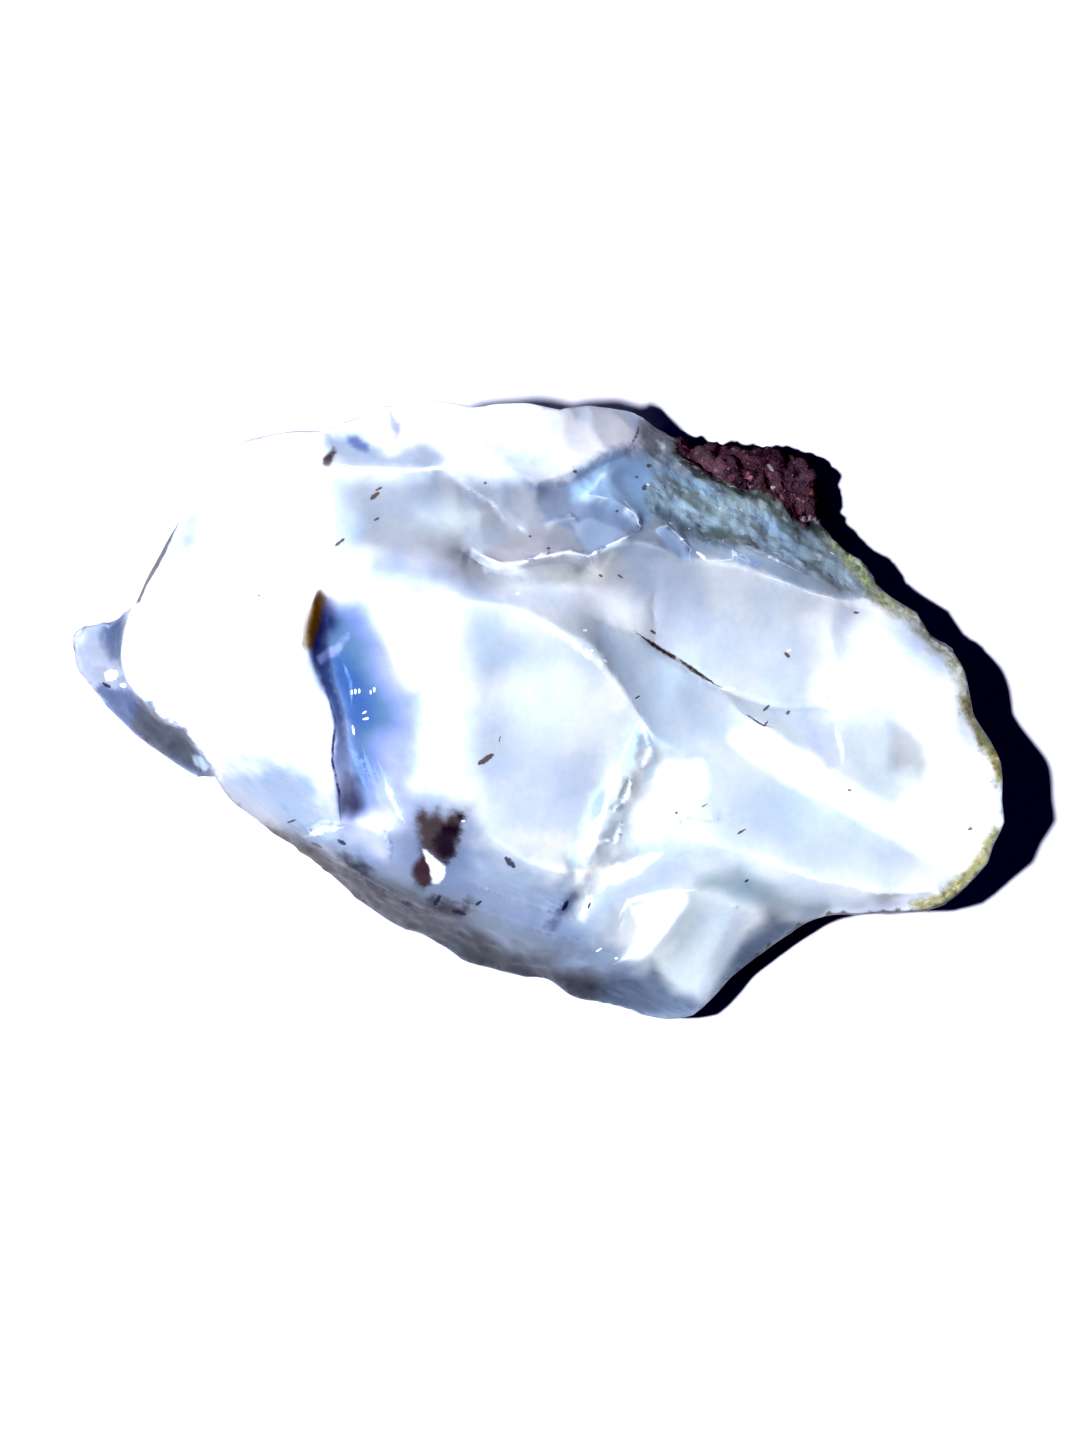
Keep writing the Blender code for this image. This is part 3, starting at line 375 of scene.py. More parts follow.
        (-38.4, 6.4), (-36, 8), (-33.2, 9), (-33.2, 5), (-32.6, 2), (-30, -0.8), (-27, -3), (-25.4, -6),
        (-31, -4.6), (-37.6, 2),
    ]),
    # Painted shade at the foot of the wall above the left ledge.
    "ledge_top_shade": Patch((85, 97, 121), 0.9, 0.45, 0.5, [
        (-32.2, 8.8), (-33.4, 8.2), (-34.8, 7.2), (-34.8, 5.2), (-34.3, 4.2), (-33.4, 4), (-33, 6),
    ]),
    "ledge_low": Patch((87, 101, 130), 0.9, 0.4, 0.7, [
        (-35.2, 2.4), (-33.8, 1.9), (-32.6, 1.9), (-31, 0.9), (-29.8, -0.2), (-28.2, -1.2), (-26, -4.2),
        (-25.5, -5.2), (-27.4, -5.3), (-29, -4.8), (-31, -3.4), (-33, -1.6), (-35.6, 1.2),
    ]),
    "ledge_core": Patch((85, 90, 96), 0.85, 0.4, 0.8, [
        (-31.8, 1.2), (-27.8, -2), (-27.2, -3.6), (-26, -4.9), (-27.6, -4.9), (-29.6, -3.9), (-31.4, -2.6),
        (-32.6, -1.2),
    ]),
    "ledge_blob": Patch((158, 174, 186), 0.9, 0.15, 0.2, [
        (-27.7, -3.4), (-26.8, -3.6), (-26.2, -4.3), (-26.6, -4.7), (-27.5, -4.2),
    ]),
    "end_brown": Patch((146, 150, 109), 0.8, 0.7, 0.9, [
        (37, 0.4), (37, 5), (34, 9), (28.4, 12), (26.6, 9.4), (28.4, 8.1), (30.2, 7.2), (31.2, 5.6),
        (32.8, 4.4), (33.7, 3.1), (34.2, 0),
    ]),
    "end_olive": Patch((124, 124, 43), 0.85, 0.5, 0.9, [
        (34.2, 0.8), (34.6, -0.8), (36.3, -3.8), (36.8, -5.8), (40, -5.4), (39.4, -2), (36.6, 1),
    ]),
    "end_amber": Patch((161, 158, 99), 0.85, 0.4, 0.6, [
        (29.8, -15.3), (33.6, -18.4), (39, -14), (39.6, -10), (36.6, -9), (35.6, -11), (34.2, -12.8),
        (32.2, -14.5),
    ]),
    "band_grey": Patch((169, 184, 197), 0.95, 0.3, 0.5, [
        (9.4, 14.4), (12, 12.9), (14, 12.3), (16, 11.9), (20, 10.5), (22, 9.7), (24.6, 9.1), (27.2, 9.4),
        (26, 11), (22, 13), (17, 15), (11, 16),
    ]),
    "chip_near": Patch((155, 172, 195), 0.9, 0.15, 0.2, [
        (9.5, 14.7), (10.4, 14.9), (11.8, 13.9), (12.8, 12.9), (12.2, 12.1), (11.2, 12.2), (10.4, 13.2),
    ]),
    "chip_far": Patch((160, 179, 205), 0.9, 0.15, 0.2, [
        (15.6, 12.9), (17, 12.6), (18.4, 12), (17.6, 11.4), (16.4, 11.9), (15.6, 12.1),
    ]),
    "rind": Patch((157, 178, 190), 0.95, 0.4, 0.8, [
        (8.2, 22.6), (8.6, 21.4), (9.4, 18.8), (8.6, 17.2), (9, 15.8), (12, 14.4), (14.2, 13.4),
        (16.3, 13.4), (19, 12.4), (22, 11), (24.6, 9.8), (27.4, 9.4), (30, 12), (24, 24), (9, 26),
    ]),
    "slate": Patch((75, 99, 117), 0.65, 0.5, 0.7, [
        (8.8, 16.8), (9.8, 15.4), (12, 14), (14.4, 13.1), (16.2, 13), (17.6, 13.4), (15.4, 14.5),
        (12.8, 15),
    ]),
    "rind_blue_low": Patch((129, 167, 207), 0.3, 0.6, 0.7, [
        (15.6, 16.2), (18, 16), (20.8, 14.8), (22.4, 13.2), (20.4, 13.4), (16, 15),
    ]),
    "rind_blue_high": Patch((126, 187, 227), 0.3, 0.6, 0.7, [
        (10.4, 19.8), (12.4, 19), (14.8, 17.6), (14.2, 16.6), (10.2, 18.8),
    ]),
    "tip_green": Patch((249, 249, 249), 0.85, 0.4, 0.5, [
        (8.4, 23.6), (9.6, 23.2), (11, 22.2), (10.6, 21), (9.2, 21.2), (8, 21.8),
    ]),
    "olive": Patch((64, 65, 63), 0.85, 0.6, 0.9, [
        (10.6, 23), (10.4, 21.4), (11.8, 19.9), (14.2, 18.3), (17.8, 17.1), (19.6, 15.6), (21.8, 14.4),
        (24.4, 12.4), (25.8, 10.8), (27, 9), (31, 9), (24, 24),
    ]),
    # The rind on the steep sides: partly its own dark colour, partly painted shade that keeps the floor's
    # shadow beside it deep.
    "side_rind": Patch((92, 84, 60), 0.95, 0.8, 1.2, [
        (10, -27), (22, -26), (44, -16), (44, 10), (30, 27), (8.6, 27), (9, 20), (14, 19.6), (20, 15),
        (24, 9.6), (29, 4.6), (31.6, -1), (33.4, -7), (31, -12.4), (24, -12.6), (17, -14.6), (12, -20),
    ]),
    "rim_yellow": Patch((192, 202, 159), 0.85, 0.4, 0.7, [
        (23, 15.4), (23.4, 13.6), (24.8, 12), (26, 10.9), (26.6, 9.6), (28, 8.6), (31, 9.4), (30, 13),
        (27, 15),
    ]),
    "rock_shadow": Patch((55, 69, 65), 0.9, 0.45, 0.8, [
        (10.4, 22), (11.2, 20.6), (12.4, 19.2), (14.6, 17.9), (16.6, 17.2), (18.4, 16.8), (19.6, 15.9),
        (20.6, 14.9), (22.6, 14.4), (24, 16), (22, 18), (14, 21.4),
    ]),
    "rind_haze": Patch((182, 210, 223), 0.6, 0.8, 1.4, [
        (9.6, 18.6), (18.6, 14.6), (21.6, 12.6), (20, 12.4), (16, 14.4), (12, 15.6), (9.6, 16.8),
    ]),
    "rock": Patch((64, 50, 60), 1.0, 0.2, 0.7, [
        (11, 22.6), (11.2, 21.2), (12.5, 19.9), (14.7, 18.8), (16.5, 17.9), (18.3, 17.6), (19.8, 16.8),
        (20.6, 15.7), (21.4, 15.1), (23, 15.4), (25, 18), (23, 24), (12, 24),
    ]),
}

# Those that reach the underside, and the rind that shows on the steep sides alone.
UNDER_TOO = (
    "rind", "olive", "rock", "strip", "strip_dark", "strip_olive", "left_ledge", "ledge_core", "toe",
)
SIDE_ONLY, SIDE_NORMAL = ("side_rind",), 0.3

# Flake edges too fine for the solid.
LEDGES = {
    "long_flake": Ledge(0.5, 2.2, [
        (4.4, 11.9), (4.1, 12.4), (2.6, 12.7), (0.2, 12.3), (-1.3, 11.8), (-2.8, 11.7), (-4.5, 12.5),
    ]),
    "right_flake": Ledge(0.5, 1.6, [(7.5, 14.1), (6, 13.3), (4.1, 12.4)]),
    "blue_chip": Ledge(0.15, 1, [(5.8, 17), (3.9, 17.3), (5.1, 18.4)]),
    "far_flake": Ledge(0.3, 1, [(8.3, 14.6), (7.8, 15.8), (7, 16.3)]),
    "near_chip": Ledge(0.35, 1.4, [(12.2, 12.9), (11.4, 14.1), (10.3, 14.8), (9.5, 14.4)]),
    "rind_edge": Ledge(0.3, 1.4, [(21.3, 11.1), (20, 11.8), (18, 12.7), (16, 13.7)]),
    "rind_chip": Ledge(0.25, 1, [(17.4, 11.8), (16, 12.4), (15.6, 13.1)]),
    "hollow_rib": Ledge(0.15, 1.6, [(-6.4, 18.4), (-3.4, 16.5), (-2.6, 15.4), (-0.6, 14.2)]),
    "hollow_chip": Ledge(0.25, 1, [(3.4, 15.2), (2.6, 15.5), (1.8, 15.2), (0.6, 15)]),
    "step_high": Ledge(0.3, 1.2, [(8.3, -0.6), (9, -3), (8.2, -4.8)]),
    "step_mid": Ledge(0.35, 1.2, [(7.6, -5), (7.2, -6.8), (6, -8)]),
    "step_low": Ledge(0.35, 1.2, [(6.8, -8.6), (6.4, -10.4), (4.6, -10.2), (4, -11.4)]),
    "toe_ripple": Ledge(0.25, 1.6, [(10.4, -9), (12.2, -8.2), (14.6, -8.6)]),
    "left_flake": Ledge(0.3, 1.2, [(-15.4, -8.9), (-17, -8.6), (-18.7, -9.7)]),
    "left_chip": Ledge(0.3, 1.4, [(-11.8, -12), (-11.7, -10.4), (-12.6, -9), (-14, -8.9)]),
    "slope_high": Ledge(0.25, 1.6, [(-5.2, -13.6), (-2.4, -14.6), (1.2, -15.8), (3.2, -16.2)]),
    "slope_low": Ledge(0.2, 1.4, [(-6.4, -15), (-3, -16.2), (0.6, -17.4), (4.4, -18.6)]),
    "window_foot": Ledge(0.2, 1.4, [(-19.6, -5), (-17.6, -6.8), (-16.4, -8.2)]),
}

# Fine lines. The white ones are mostly painted highlights along flake lips and crests, with a few real
# white streaks.
LINES = {
    "lip_highlights_and_streaks": Group((244, 247, 252), 0.55, [
        Mark(0.09, LEDGES["long_flake"].line),
        Mark(0.1, [(7.5, 14.1), (6, 13.4), (4.1, 12.4)]),
        Mark(0.08, [(5.8, 17), (3.9, 17.3)]),
        Mark(0.07, LEDGES["far_flake"].line),
        Mark(0.07, [(12.2, 12.2), (12.3, 13), (11.4, 14), (10.4, 14.9), (9.5, 14.6), (9.8, 14.1)]),
        Mark(0.06, [(13, 12.1), (14.6, 12.1), (15.7, 12.2), (15.6, 12.9), (16.6, 12.5), (17.6, 11.8)]),
        Mark(0.06, [(16.2, 13.6), (18, 12.9), (20, 11.9), (21.6, 11)]),
        Mark(0.06, [(8.6, 14.4), (8, 15.8), (6.8, 17)]),
        Mark(0.06, [(17.6, 11.1), (20, 10.3), (22, 9.5), (24.6, 8.9), (27, 9)]),
        Mark(0.08, LEDGES["rind_edge"].line),
        Mark(0.07, LEDGES["rind_chip"].line),
        Mark(0.14, [(-16, 19.7), (-13.4, 19.3), (-10, 19.1), (-7, 19.4), (-3, 19.5), (-0.6, 18.7)]),
        Mark(0.3, [(-1.7, 8.1), (0.8, 6.9), (3, 5.4), (4.9, 4), (6.4, 2.2), (8.3, -0.5)]),
        Mark(0.22, [(-12, -5.4), (-11.4, -7), (-10.6, -8.6)]),
        Mark(0.2, [(4.3, -11.4), (5.2, -8.4), (6, -5.6), (7, -3), (8, -0.8)]),
        Mark(0.3, [(3.2, -12.6), (4, -13.6), (4.2, -15), (3.5, -16.2)]),
        Mark(0.25, [(6.6, -16.4), (7.4, -15.1), (9.6, -14.5), (12.5, -14.2)]),
        Mark(0.2, [(6.4, -20.1), (7.6, -19.4), (9, -18.9)]),
        Mark(0.3, [(-18.4, -9.9), (-17, -9.3), (-15.6, -9.2)]),
        Mark(0.2, [(23.9, -1.2), (24.4, -3), (24.4, -4.2)]),
    ]),
    "pale_lines": Group((160, 185, 234), 0.35, [
        Mark(0.25, [(-15.1, -1.6), (-14.4, -3.5), (-13.4, -6.2)]),
        Mark(0.2, [(-13.7, -3), (-13, -5.2), (-12.2, -7.8)]),
        Mark(0.2, [(-12.6, -3.8), (-11.6, -6), (-10.4, -8.2)]),
        Mark(0.14, [(-15.2, 3.9), (-14.7, 2.4), (-14.6, 0.8)]),
    ]),
    "dark_brown_lines": Group((52, 34, 26), 0.92, [
        Mark(0.17, [(8, 6.3), (9.6, 5.2), (11.6, 4), (13.2, 2.9), (14.5, 2.1)]),
        Mark(0.06, [(16.5, 0), (18, -1), (19, -1.2)]),
        # A dark line where the crest's end drops to the rind.
        Mark(0.12, [(8.2, 23.1), (8.1, 22.3), (7.6, 21.5)]),
    ]),
    "blue_lines": Group((40, 44, 88), 0.9, [
        Mark(0.12, [
            (-16.5, 1.4), (-16.2, 0.4), (-15.9, -0.8), (-16.1, -2.5), (-16.2, -3.8), (-15.7, -6.2),
            (-15.6, -8.7),
        ]),
    ]),
}

# Specks, small smudges and glints.
def specks_at(*rows):
    return [Spot(*row) for row in rows]


SPECKS = {
    "rust_specks": Group((84, 66, 60), 0.8, specks_at(
        (-12.75, 17.1, 0.46, 0.2, 39), (-12.45, 17.65, 0.3, 0.12, 27),
        (-12.6, 15.25, 0.24, 0.11, 27), (-15.5, 13.4, 0.5, 0.15, 40),
        (3.05, 19.15, 0.2, 0.16, 0), (8.6, 17.95, 0.28, 0.2, 60), (9, 19.75, 0.22, 0.18, 0),
        (8, 18.8, 0.16, 0.12, 0), (6.4, 16, 0.16, 0.1, 30),
        (6.65, 10.8, 0.26, 0.1, -34), (5.1, 10.85, 0.18, 0.1, -30),
        (9.25, 6.4, 0.28, 0.15, -34), (20, 4.6, 0.3, 0.16, -45),
        (-0.5, 13.95, 0.12, 0.1, 0), (-4.05, 18.15, 0.12, 0.1, 0),
        (18.35, 0.35, 0.36, 0.12, 45), (20.1, 0, 0.22, 0.14, 45),
        (18.3, -0.9, 0.3, 0.09, 50), (11.15, -8, 0.14, 0.12, 0),
        (16.35, -9.5, 0.42, 0.1, 30), (25.6, 8, 0.24, 0.12, 0), (34.7, -9.3, 0.24, 0.16, 20),
        (-4, -3.7, 0.75, 0.26, 35), (-2.9, -2.1, 0.26, 0.06, 75),
        (13.4, -7.4, 0.3, 0.07, 30),
    )),
    "blue_specks": Group((30, 32, 66), 0.85, specks_at(
        (-2.1, -11.9, 0.6, 0.3, -45), (2.3, -15.4, 0.5, 0.2, 62),
        (-15.55, -10.35, 0.4, 0.2, -30), (0.95, 13, 0.13, 0.1, 0),
        (-21.95, 9.25, 0.12, 0.1, 0), (16.8, -13.45, 0.2, 0.11, 30),
        (-10.4, -15.3, 0.5, 0.2, -20), (-6.2, -16, 0.6, 0.22, -15), (-4.6, -15.2, 0.3, 0.14, 40),
        (-7.9, -15, 0.5, 0.22, 60), (-17.6, -10.6, 0.5, 0.14, -25),
        (-19.6, -8.7, 0.4, 0.1, 20), (4.2, -15.4, 0.3, 0.1, 70), (8, 1.2, 0.24, 0.08, 30),
        (25, -6.2, 0.2, 0.1, 0), (-34.6, 2.2, 0.4, 0.16, -30),
    )),
    "knobs": Group((190, 184, 192), 0.55, specks_at(
        (21.7, 15.6, 0.42, 0.32, 20), (18.8, 19.7, 0.4, 0.16, -50), (19, 18.1, 0.22, 0.14, 0),
        (22.4, 15.5, 0.2, 0.2, 0),
    )),
    "glints": Group((255, 255, 255), 0.97, specks_at(
        (-14.6, 1.6, 0.09, 0.2, 0), (-14.3, 1.65, 0.09, 0.22, 0), (-14, 1.7, 0.09, 0.2, 0),
        (-13.1, 1.6, 0.08, 0.18, 0), (-12.8, 1.8, 0.1, 0.2, 0),
        (-13.6, 0, 0.2, 0.1, 30), (-13.5, -0.5, 0.26, 0.1, 10),
        (-14.5, -1.4, 0.1, 0.4, 10),
        (20.15, 4.95, 0.2, 0.12, 20), (15.3, 1.9, 0.55, 0.13, 0),
        (13.1, 12.5, 0.5, 0.18, -40), (3.85, 6.5, 0.2, 0.12, 0),
        (4.4, 4.9, 0.16, 0.12, 0), (5.45, 4.1, 0.22, 0.12, -40), (6.3, 0.3, 0.18, 0.1, -50),
        (-1.5, 9.4, 0.2, 0.12, 0), (-5.8, -8.6, 0.16, 0.1, 0), (6.4, -19.7, 0.16, 0.12, 0),
        (-34.2, 3, 0.62, 0.5, 20), (-33.2, 2.2, 0.3, 0.22, 0), (-30.2, 0, 0.3, 0.12, -30),
        (8.9, 18.2, 0.16, 0.12, 0), (5, -19, 0.3, 0.08, 30),
    )),
}

SCALLOPS = [
    Scallops(3.2, 0.16, [(-16.6, 22.4), (-16.8, 20), (-0.6, 18.9), (7.4, 21.6), (8, 25), (-16, 25)]),
    Scallops(2.6, 0.16, [(-6.4, 18.6), (-4.6, 12.4), (4, 12.4), (9, 14.2), (10.2, 20.4), (0, 18.2)]),
    Scallops(2.4, 0.22, [
        (8.2, -0.8), (10.2, -4), (11, -8.4), (7.4, -12), (3.4, -16), (2.4, -12.6), (5.2, -5),
    ]),
    Scallops(1.8, 0.25, [(-25, -7.4), (-15.4, -11.8), (-5, -17.2), (6.2, -20.2), (8, -25), (-20, -16)]),
    Scallops(2, 0.30, [(-38, 6.4), (-33, 8.6), (-33.4, 2.6), (-27.4, -3), (-26, -6), (-38, 0)]),
    Scallops(3.6, 0.14, [(-24, -4.6), (-15.6, -8.8), (-5, -9.4), (3, -13.4), (5.6, -19.6), (-12, -14)]),
]

# Fine colours within some patches: the noise where each begins and where it covers most, that
# cover and the colour. Streaks run along the lower rim, and grains lie at the rim on the right.
STREAK_ANGLE = math.radians(-27)
STREAK_SCALE = (3.4, 0.34, 1.0)
STREAK_BEND, STREAK_WAVES, STREAK_DETAIL = 0.8, 0.3, 1.0
STREAKS = {
    "strip": [(0.54, 0.66, 0.4, (30, 29, 38)), (0.46, 0.36, 0.35, (128, 136, 156))],
    "lower_slope": [(0.54, 0.7, 0.14, (186, 196, 226)), (0.45, 0.3, 0.14, (84, 92, 130))],
    "toe": [(0.54, 0.68, 0.25, (130, 150, 184)), (0.46, 0.32, 0.25, (44, 54, 80))],
}
GRAINS = {
    "end_brown": [(0.54, 0.6, 0.7, (140, 118, 74)), (0.46, 0.4, 0.75, (240, 240, 230))],
    "end_olive": [(0.53, 0.59, 0.75, (120, 84, 30)), (0.45, 0.39, 0.7, (214, 206, 150))],
    "end_amber": [(0.53, 0.6, 0.6, (118, 108, 60)), (0.44, 0.38, 0.7, (236, 234, 200))],
    "rim_yellow": [(0.53, 0.59, 0.7, (92, 104, 60)), (0.44, 0.38, 0.5, (214, 220, 190))],
}

# A patch whose edge fades over more than this, in mm, wanders slowly.
SLOW_SOFT = 0.75

# Patches too coarse or dark to take the painted bluish shade in hollows and the painted milky highlight on
# crests.
DULL = (
    "strip", "slope_blue", "lower_slope", "toe", "left_ledge", "end_brown", "end_olive", "end_amber",
    "band_grey", "inclusion",
)

# The areas in plan, squares this many mm wide, that get a material each, and how far from it the
# lines and specks still show, in mm and in half lengths of a speck.
AREA_SIZE, AREA_COLUMNS, AREA_ROWS = 12.6, 6, 4
LINE_REACH = 0.5
SPECK_REACH, SPECK_GAP = 4.0, 0.5

# Relief, in mm: gentle waves, scallops on the underside, and the grains of rock and rind.
WAVE_SIZE, WAVE_HEIGHT = 3.1, 0.04
UNDER_SIZE, UNDER_DEPTH = 4.5, 0.45
ROCK_RELIEF = Grains(1.5, 0.8, 0.5, 0.45, 0.2)
RIND_RELIEF = Grains(0.9, 0.2, 0.4, 0.35, 0.08)
# The depths in a patch, in mm, between which its relief sets in.
ROCK_EDGE, RIND_EDGE, SCALLOP_EDGE = (-0.2, 0.4), (-0.4, 0.8), (-0.6, 0.6)
# How steeply the normal points up, or down on the underside, where scallops set in.
UPPER_SLOPE, UNDER_SLOPE = (-0.2, 0.2), (0.0, 0.4)
# How far scallops are bent and over how many of their sizes, what makes their ridges about 1,
# and their mean.
BOWL_BEND, BOWL_BEND_SIZE, BOWL_RIDGE, BOWL_MEAN = 0.35, 1.6, 1.3, 0.5
# How steeply the normal points up where ledges set in, how fast they rise from their ends, the
# share of their height that the surface dips beside them, and how near is on the edge, in mm.
LEDGE_SLOPE, LEDGE_TAPER, LEDGE_DIP, ON_LINE = (0.1, 0.4), 6, 0.3, 0.02
# How fast a fine line widens from its ends, and its width there.
LINE_TAPER, LINE_TIP = 5, 0.15
# Rounds of smoothing that tell hollows from crests.
PROUD_ROUNDS = 12

# Noise in the material: the size of its waves in mm, its detail and its roughness.
WANDER_NOISE = (1.2, 5.0, 0.6)
SLOW_NOISE = (4.0, 2.0, 0.5)
FINE_NOISE = (0.4, 3.0, 0.6)
RAGGED_NOISE = (0.18, 2.0, 0.5)
CLOUD_NOISE = (6.0, 4.0, 0.55)
MOTTLE_NOISE = (1.1, 3.0, 0.65)
GRAIN_NOISE = (0.8, 4.0, 0.65)
DUST_NOISE = (0.55, 5.0, 0.7)
BREAK_NOISE = (1.3, 3.0, 0.6)
GRIT_NOISE = (0.3, 3.0, 0.7)
STREAK_NOISE = (1.0, 4.0, 0.6)

# Ramps: from and to which value they run, and what they give there.
CLOUD_RAMP = (0.42, 0.66, 0.0, 0.8)
THICK_RAMP = (0.3, 0.7)
# The painted shade in hollows and the painted highlight on crests, by how far the surface stands out, in
# mm.
HOLLOW_SHADE_RAMP = (0.0, -0.25, 0.0, 0.25)
CREST_HIGHLIGHT_RAMP = (0.03, 0.2, 0.0, 0.16)
DUST_RAMP = (0.3, 0.7, 0.975, 1.025)
BREAK_RAMP = (0.36, 0.58, 0.35, 1.0)
NEAR_RAMP = (LINE_REACH, 0.35)
# The edges of lines and specks, in their own half widths, and how far these wander.
LINE_EDGE, LINE_WANDER = (1.4, 0.4), 1.6
SPECK_EDGE, SPECK_WANDER = (1.1, 0.3), 1.6

# The opal's milky white, which is also painted on the crests as a highlight, its clouds, and the bluish
# shade painted into its hollows.
MILK = (243, 245, 250)
CLOUD = (226, 234, 248)
HOLLOW_SHADE = (137, 154, 187)
# What the clouds in the opal multiply its colour by, where they are thin and where thick.
CLEAR, CLOUDED = (1.1, 1.06, 1.03), (0.9, 0.94, 0.98)

# Spots of colour over one another: their size in mm, the noise where they begin and where they
# cover most, that cover and the colour.
ROCK = (84, 68, 78)
ROCK_DETAIL = (4.0, 0.65)
ROCK_TINTS = [
    (2.4, 0.47, 0.58, 0.9, (38, 32, 46)), (0.9, 0.52, 0.64, 0.75, (110, 70, 78)),
    (0.35, 0.56, 0.66, 0.5, (40, 26, 32)), (0.6, 0.56, 0.68, 0.75, (158, 122, 132)),
    (0.3, 0.65, 0.73, 0.8, (190, 180, 190)),
]
RIND_ANGLE = math.radians(-30)
RIND_SCALE = (1.5, 1.0, 1.0)
RIND_DETAIL = (2.0, 0.5)
RIND_TINTS = [
    (2.4, 0.46, 0.62, 0.7, (98, 108, 100)), (1.3, 0.48, 0.66, 0.7, (150, 160, 166)),
    (0.9, 0.58, 0.72, 0.4, (80, 96, 104)), (0.7, 0.58, 0.7, 0.6, (178, 190, 200)),
    (0.35, 0.69, 0.74, 0.95, (226, 232, 240)),
]

# The surface: roughness of opal and rind, what rock and mottling add to it, heights of mottling
# and grit in mm, the rind's share of grit, and the light scattered under the opal's surface.
OPAL_ROUGH, RIND_ROUGH, ROCK_ROUGHER, MOTTLE_ROUGHER = 0.28, 0.38, 0.35, 0.12
MOTTLE_HEIGHT, GRIT_HEIGHT, RIND_GRIT = 0.006, 0.16, 0.4
IOR = 1.45
SCATTER, SCATTER_DEPTH, SCATTER_RADIUS = 0.7, 2.5, (0.75, 0.87, 1.0)

# Pale paper: linear colour, roughness, and width in metres.
FLOOR_TINT = (0.49, 0.49, 0.56)
FLOOR_ROUGH = 0.9
FLOOR_SIZE = 2.0

# A small hard lamp, in metres and degrees, and a weak blue sky. The display is contrasty.
KEY_DISTANCE = 1.0
KEY_SIZE = 0.05
KEY_WATTS = 24.0
KEY_AZIMUTH = 182.0
KEY_ELEVATION = 65.0
SKY = (0.15, 0.42, 1.0)
SKY_STRENGTH = 0.12
VIEW_GAMMA = 0.75
BLACK_LEVEL = (0.03, 0.044, 0.048)

# The camera looks straight down at AIM through a long lens. The photograph is PHOTO_HEIGHT
# pixels high, and each of them is taken to show PIXEL of the plane at the height SHARP_PLANE.
PHOTO_HEIGHT = 1430
PIXEL = 0.08 * MM
LENS, SENSOR = 300.0, 36.0
SHARP_PLANE = 10 * MM
AIM = (0.28 * MM, -0.2 * MM)


def linear(colour):
    """An sRGB colour from 0 to 255 as the linear RGBA that a shader takes."""
    shares = [c / 255 for c in colour]
    return [c / 12.92 if c <= 0.04045 else ((c + 0.055) / 1.055) ** 2.4 for c in shares] + [1.0]


def nearest_on_line(spots, line):
    """For each spot in plan: distance to the line, share of the way along it, side (+1 is its
    left) and the nearest place on it."""
    line = np.array(line, float)
    steps = np.hypot(*np.diff(line, axis=0).T)
    before = np.concatenate([[0.0], np.cumsum(steps)])
    distance = np.full(len(spots), np.inf)
    along, side = np.zeros(len(spots)), np.zeros(len(spots))
    place = spots.copy()
    for start, end, step, done in zip(line[:-1], line[1:], steps, before):
        way = (end - start) / step
        off = spots - start
        t = np.clip(off[:, 0] * way[0] + off[:, 1] * way[1], 0.0, step)
        foot = start + t[:, None] * way
        gap = np.hypot(*(spots - foot).T)
        nearer = gap < distance
        distance[nearer] = gap[nearer]
        along[nearer] = (done + t[nearer]) / before[-1]
        side[nearer] = np.sign(way[0] * off[nearer, 1] - way[1] * off[nearer, 0])
        place[nearer] = foot[nearer]
    return distance, along, side, place


def depth_inside(spots, outline):
    """How far each spot lies inside a closed outline, in mm, negative outside it."""
    closed = outline + outline[:1]
    distance = nearest_on_line(spots, closed)[0]
    within = np.zeros(len(spots), bool)
    for (ax, ay), (bx, by) in zip(closed[:-1], closed[1:]):
        spans = (ay > spots[:, 1]) != (by > spots[:, 1])
        if by != ay:
            within ^= spans & (spots[:, 0] < ax + (spots[:, 1] - ay) / (by - ay) * (bx - ax))
    return np.where(within, distance, -distance)


def smoothstep(value, low, high):
    t = np.clip((value - low) / (high - low), 0.0, 1.0)
    return t * t * (3 - 2 * t)


def subdivided(node):
    """A finer copy of the solid's mesh, with its crests kept crisp."""
    work = bmesh.new()
    work.from_mesh(node.data)
    bmesh.ops.remove_doubles(work, verts=work.verts, dist=WELD * MM)
    crease = work.edges.layers.float.new("crease_edge")
    for edge in work.edges:
        turn = math.degrees(edge.calc_face_angle(0.0))
        edge[crease] = min(1.0, max(0.0, (turn - SOFT_EDGE) / (CRISP_EDGE - SOFT_EDGE)))
    mesh = bpy.data.meshes.new("stone_cage")
    work.to_mesh(mesh)
    work.free()
    cage = bpy.data.objects.new("stone_cage", mesh)
    bpy.context.scene.collection.objects.link(cage)
    finer = cage.modifiers.new("finer", "SUBSURF")
    finer.levels = finer.render_levels = SUBDIVISIONS
    graph = bpy.context.evaluated_depsgraph_get()
    fine = bpy.data.meshes.new_from_object(cage.evaluated_get(graph))
    bpy.data.objects.remove(cage)
    bpy.data.meshes.remove(mesh)
    return fine


def read_points(mesh):
    """Vertex positions in mm and vertex normals."""
    count = len(mesh.vertices)
    points, normals = np.empty(count * 3, np.float32), np.empty(count * 3, np.float32)
    mesh.vertices.foreach_get("co", points)
    mesh.vertex_normals.foreach_get("vector", normals)
    return points.reshape(-1, 3).astype(float) / MM, normals.reshape(-1, 3).astype(float)


def write_points(mesh, points):
    mesh.vertices.foreach_set("co", (points * MM).astype(np.float32).ravel())
    mesh.update()


def store(mesh, name, values):
    mesh.attributes.new(name, "FLOAT", "POINT").data.foreach_set("value", values.astype(np.float32))


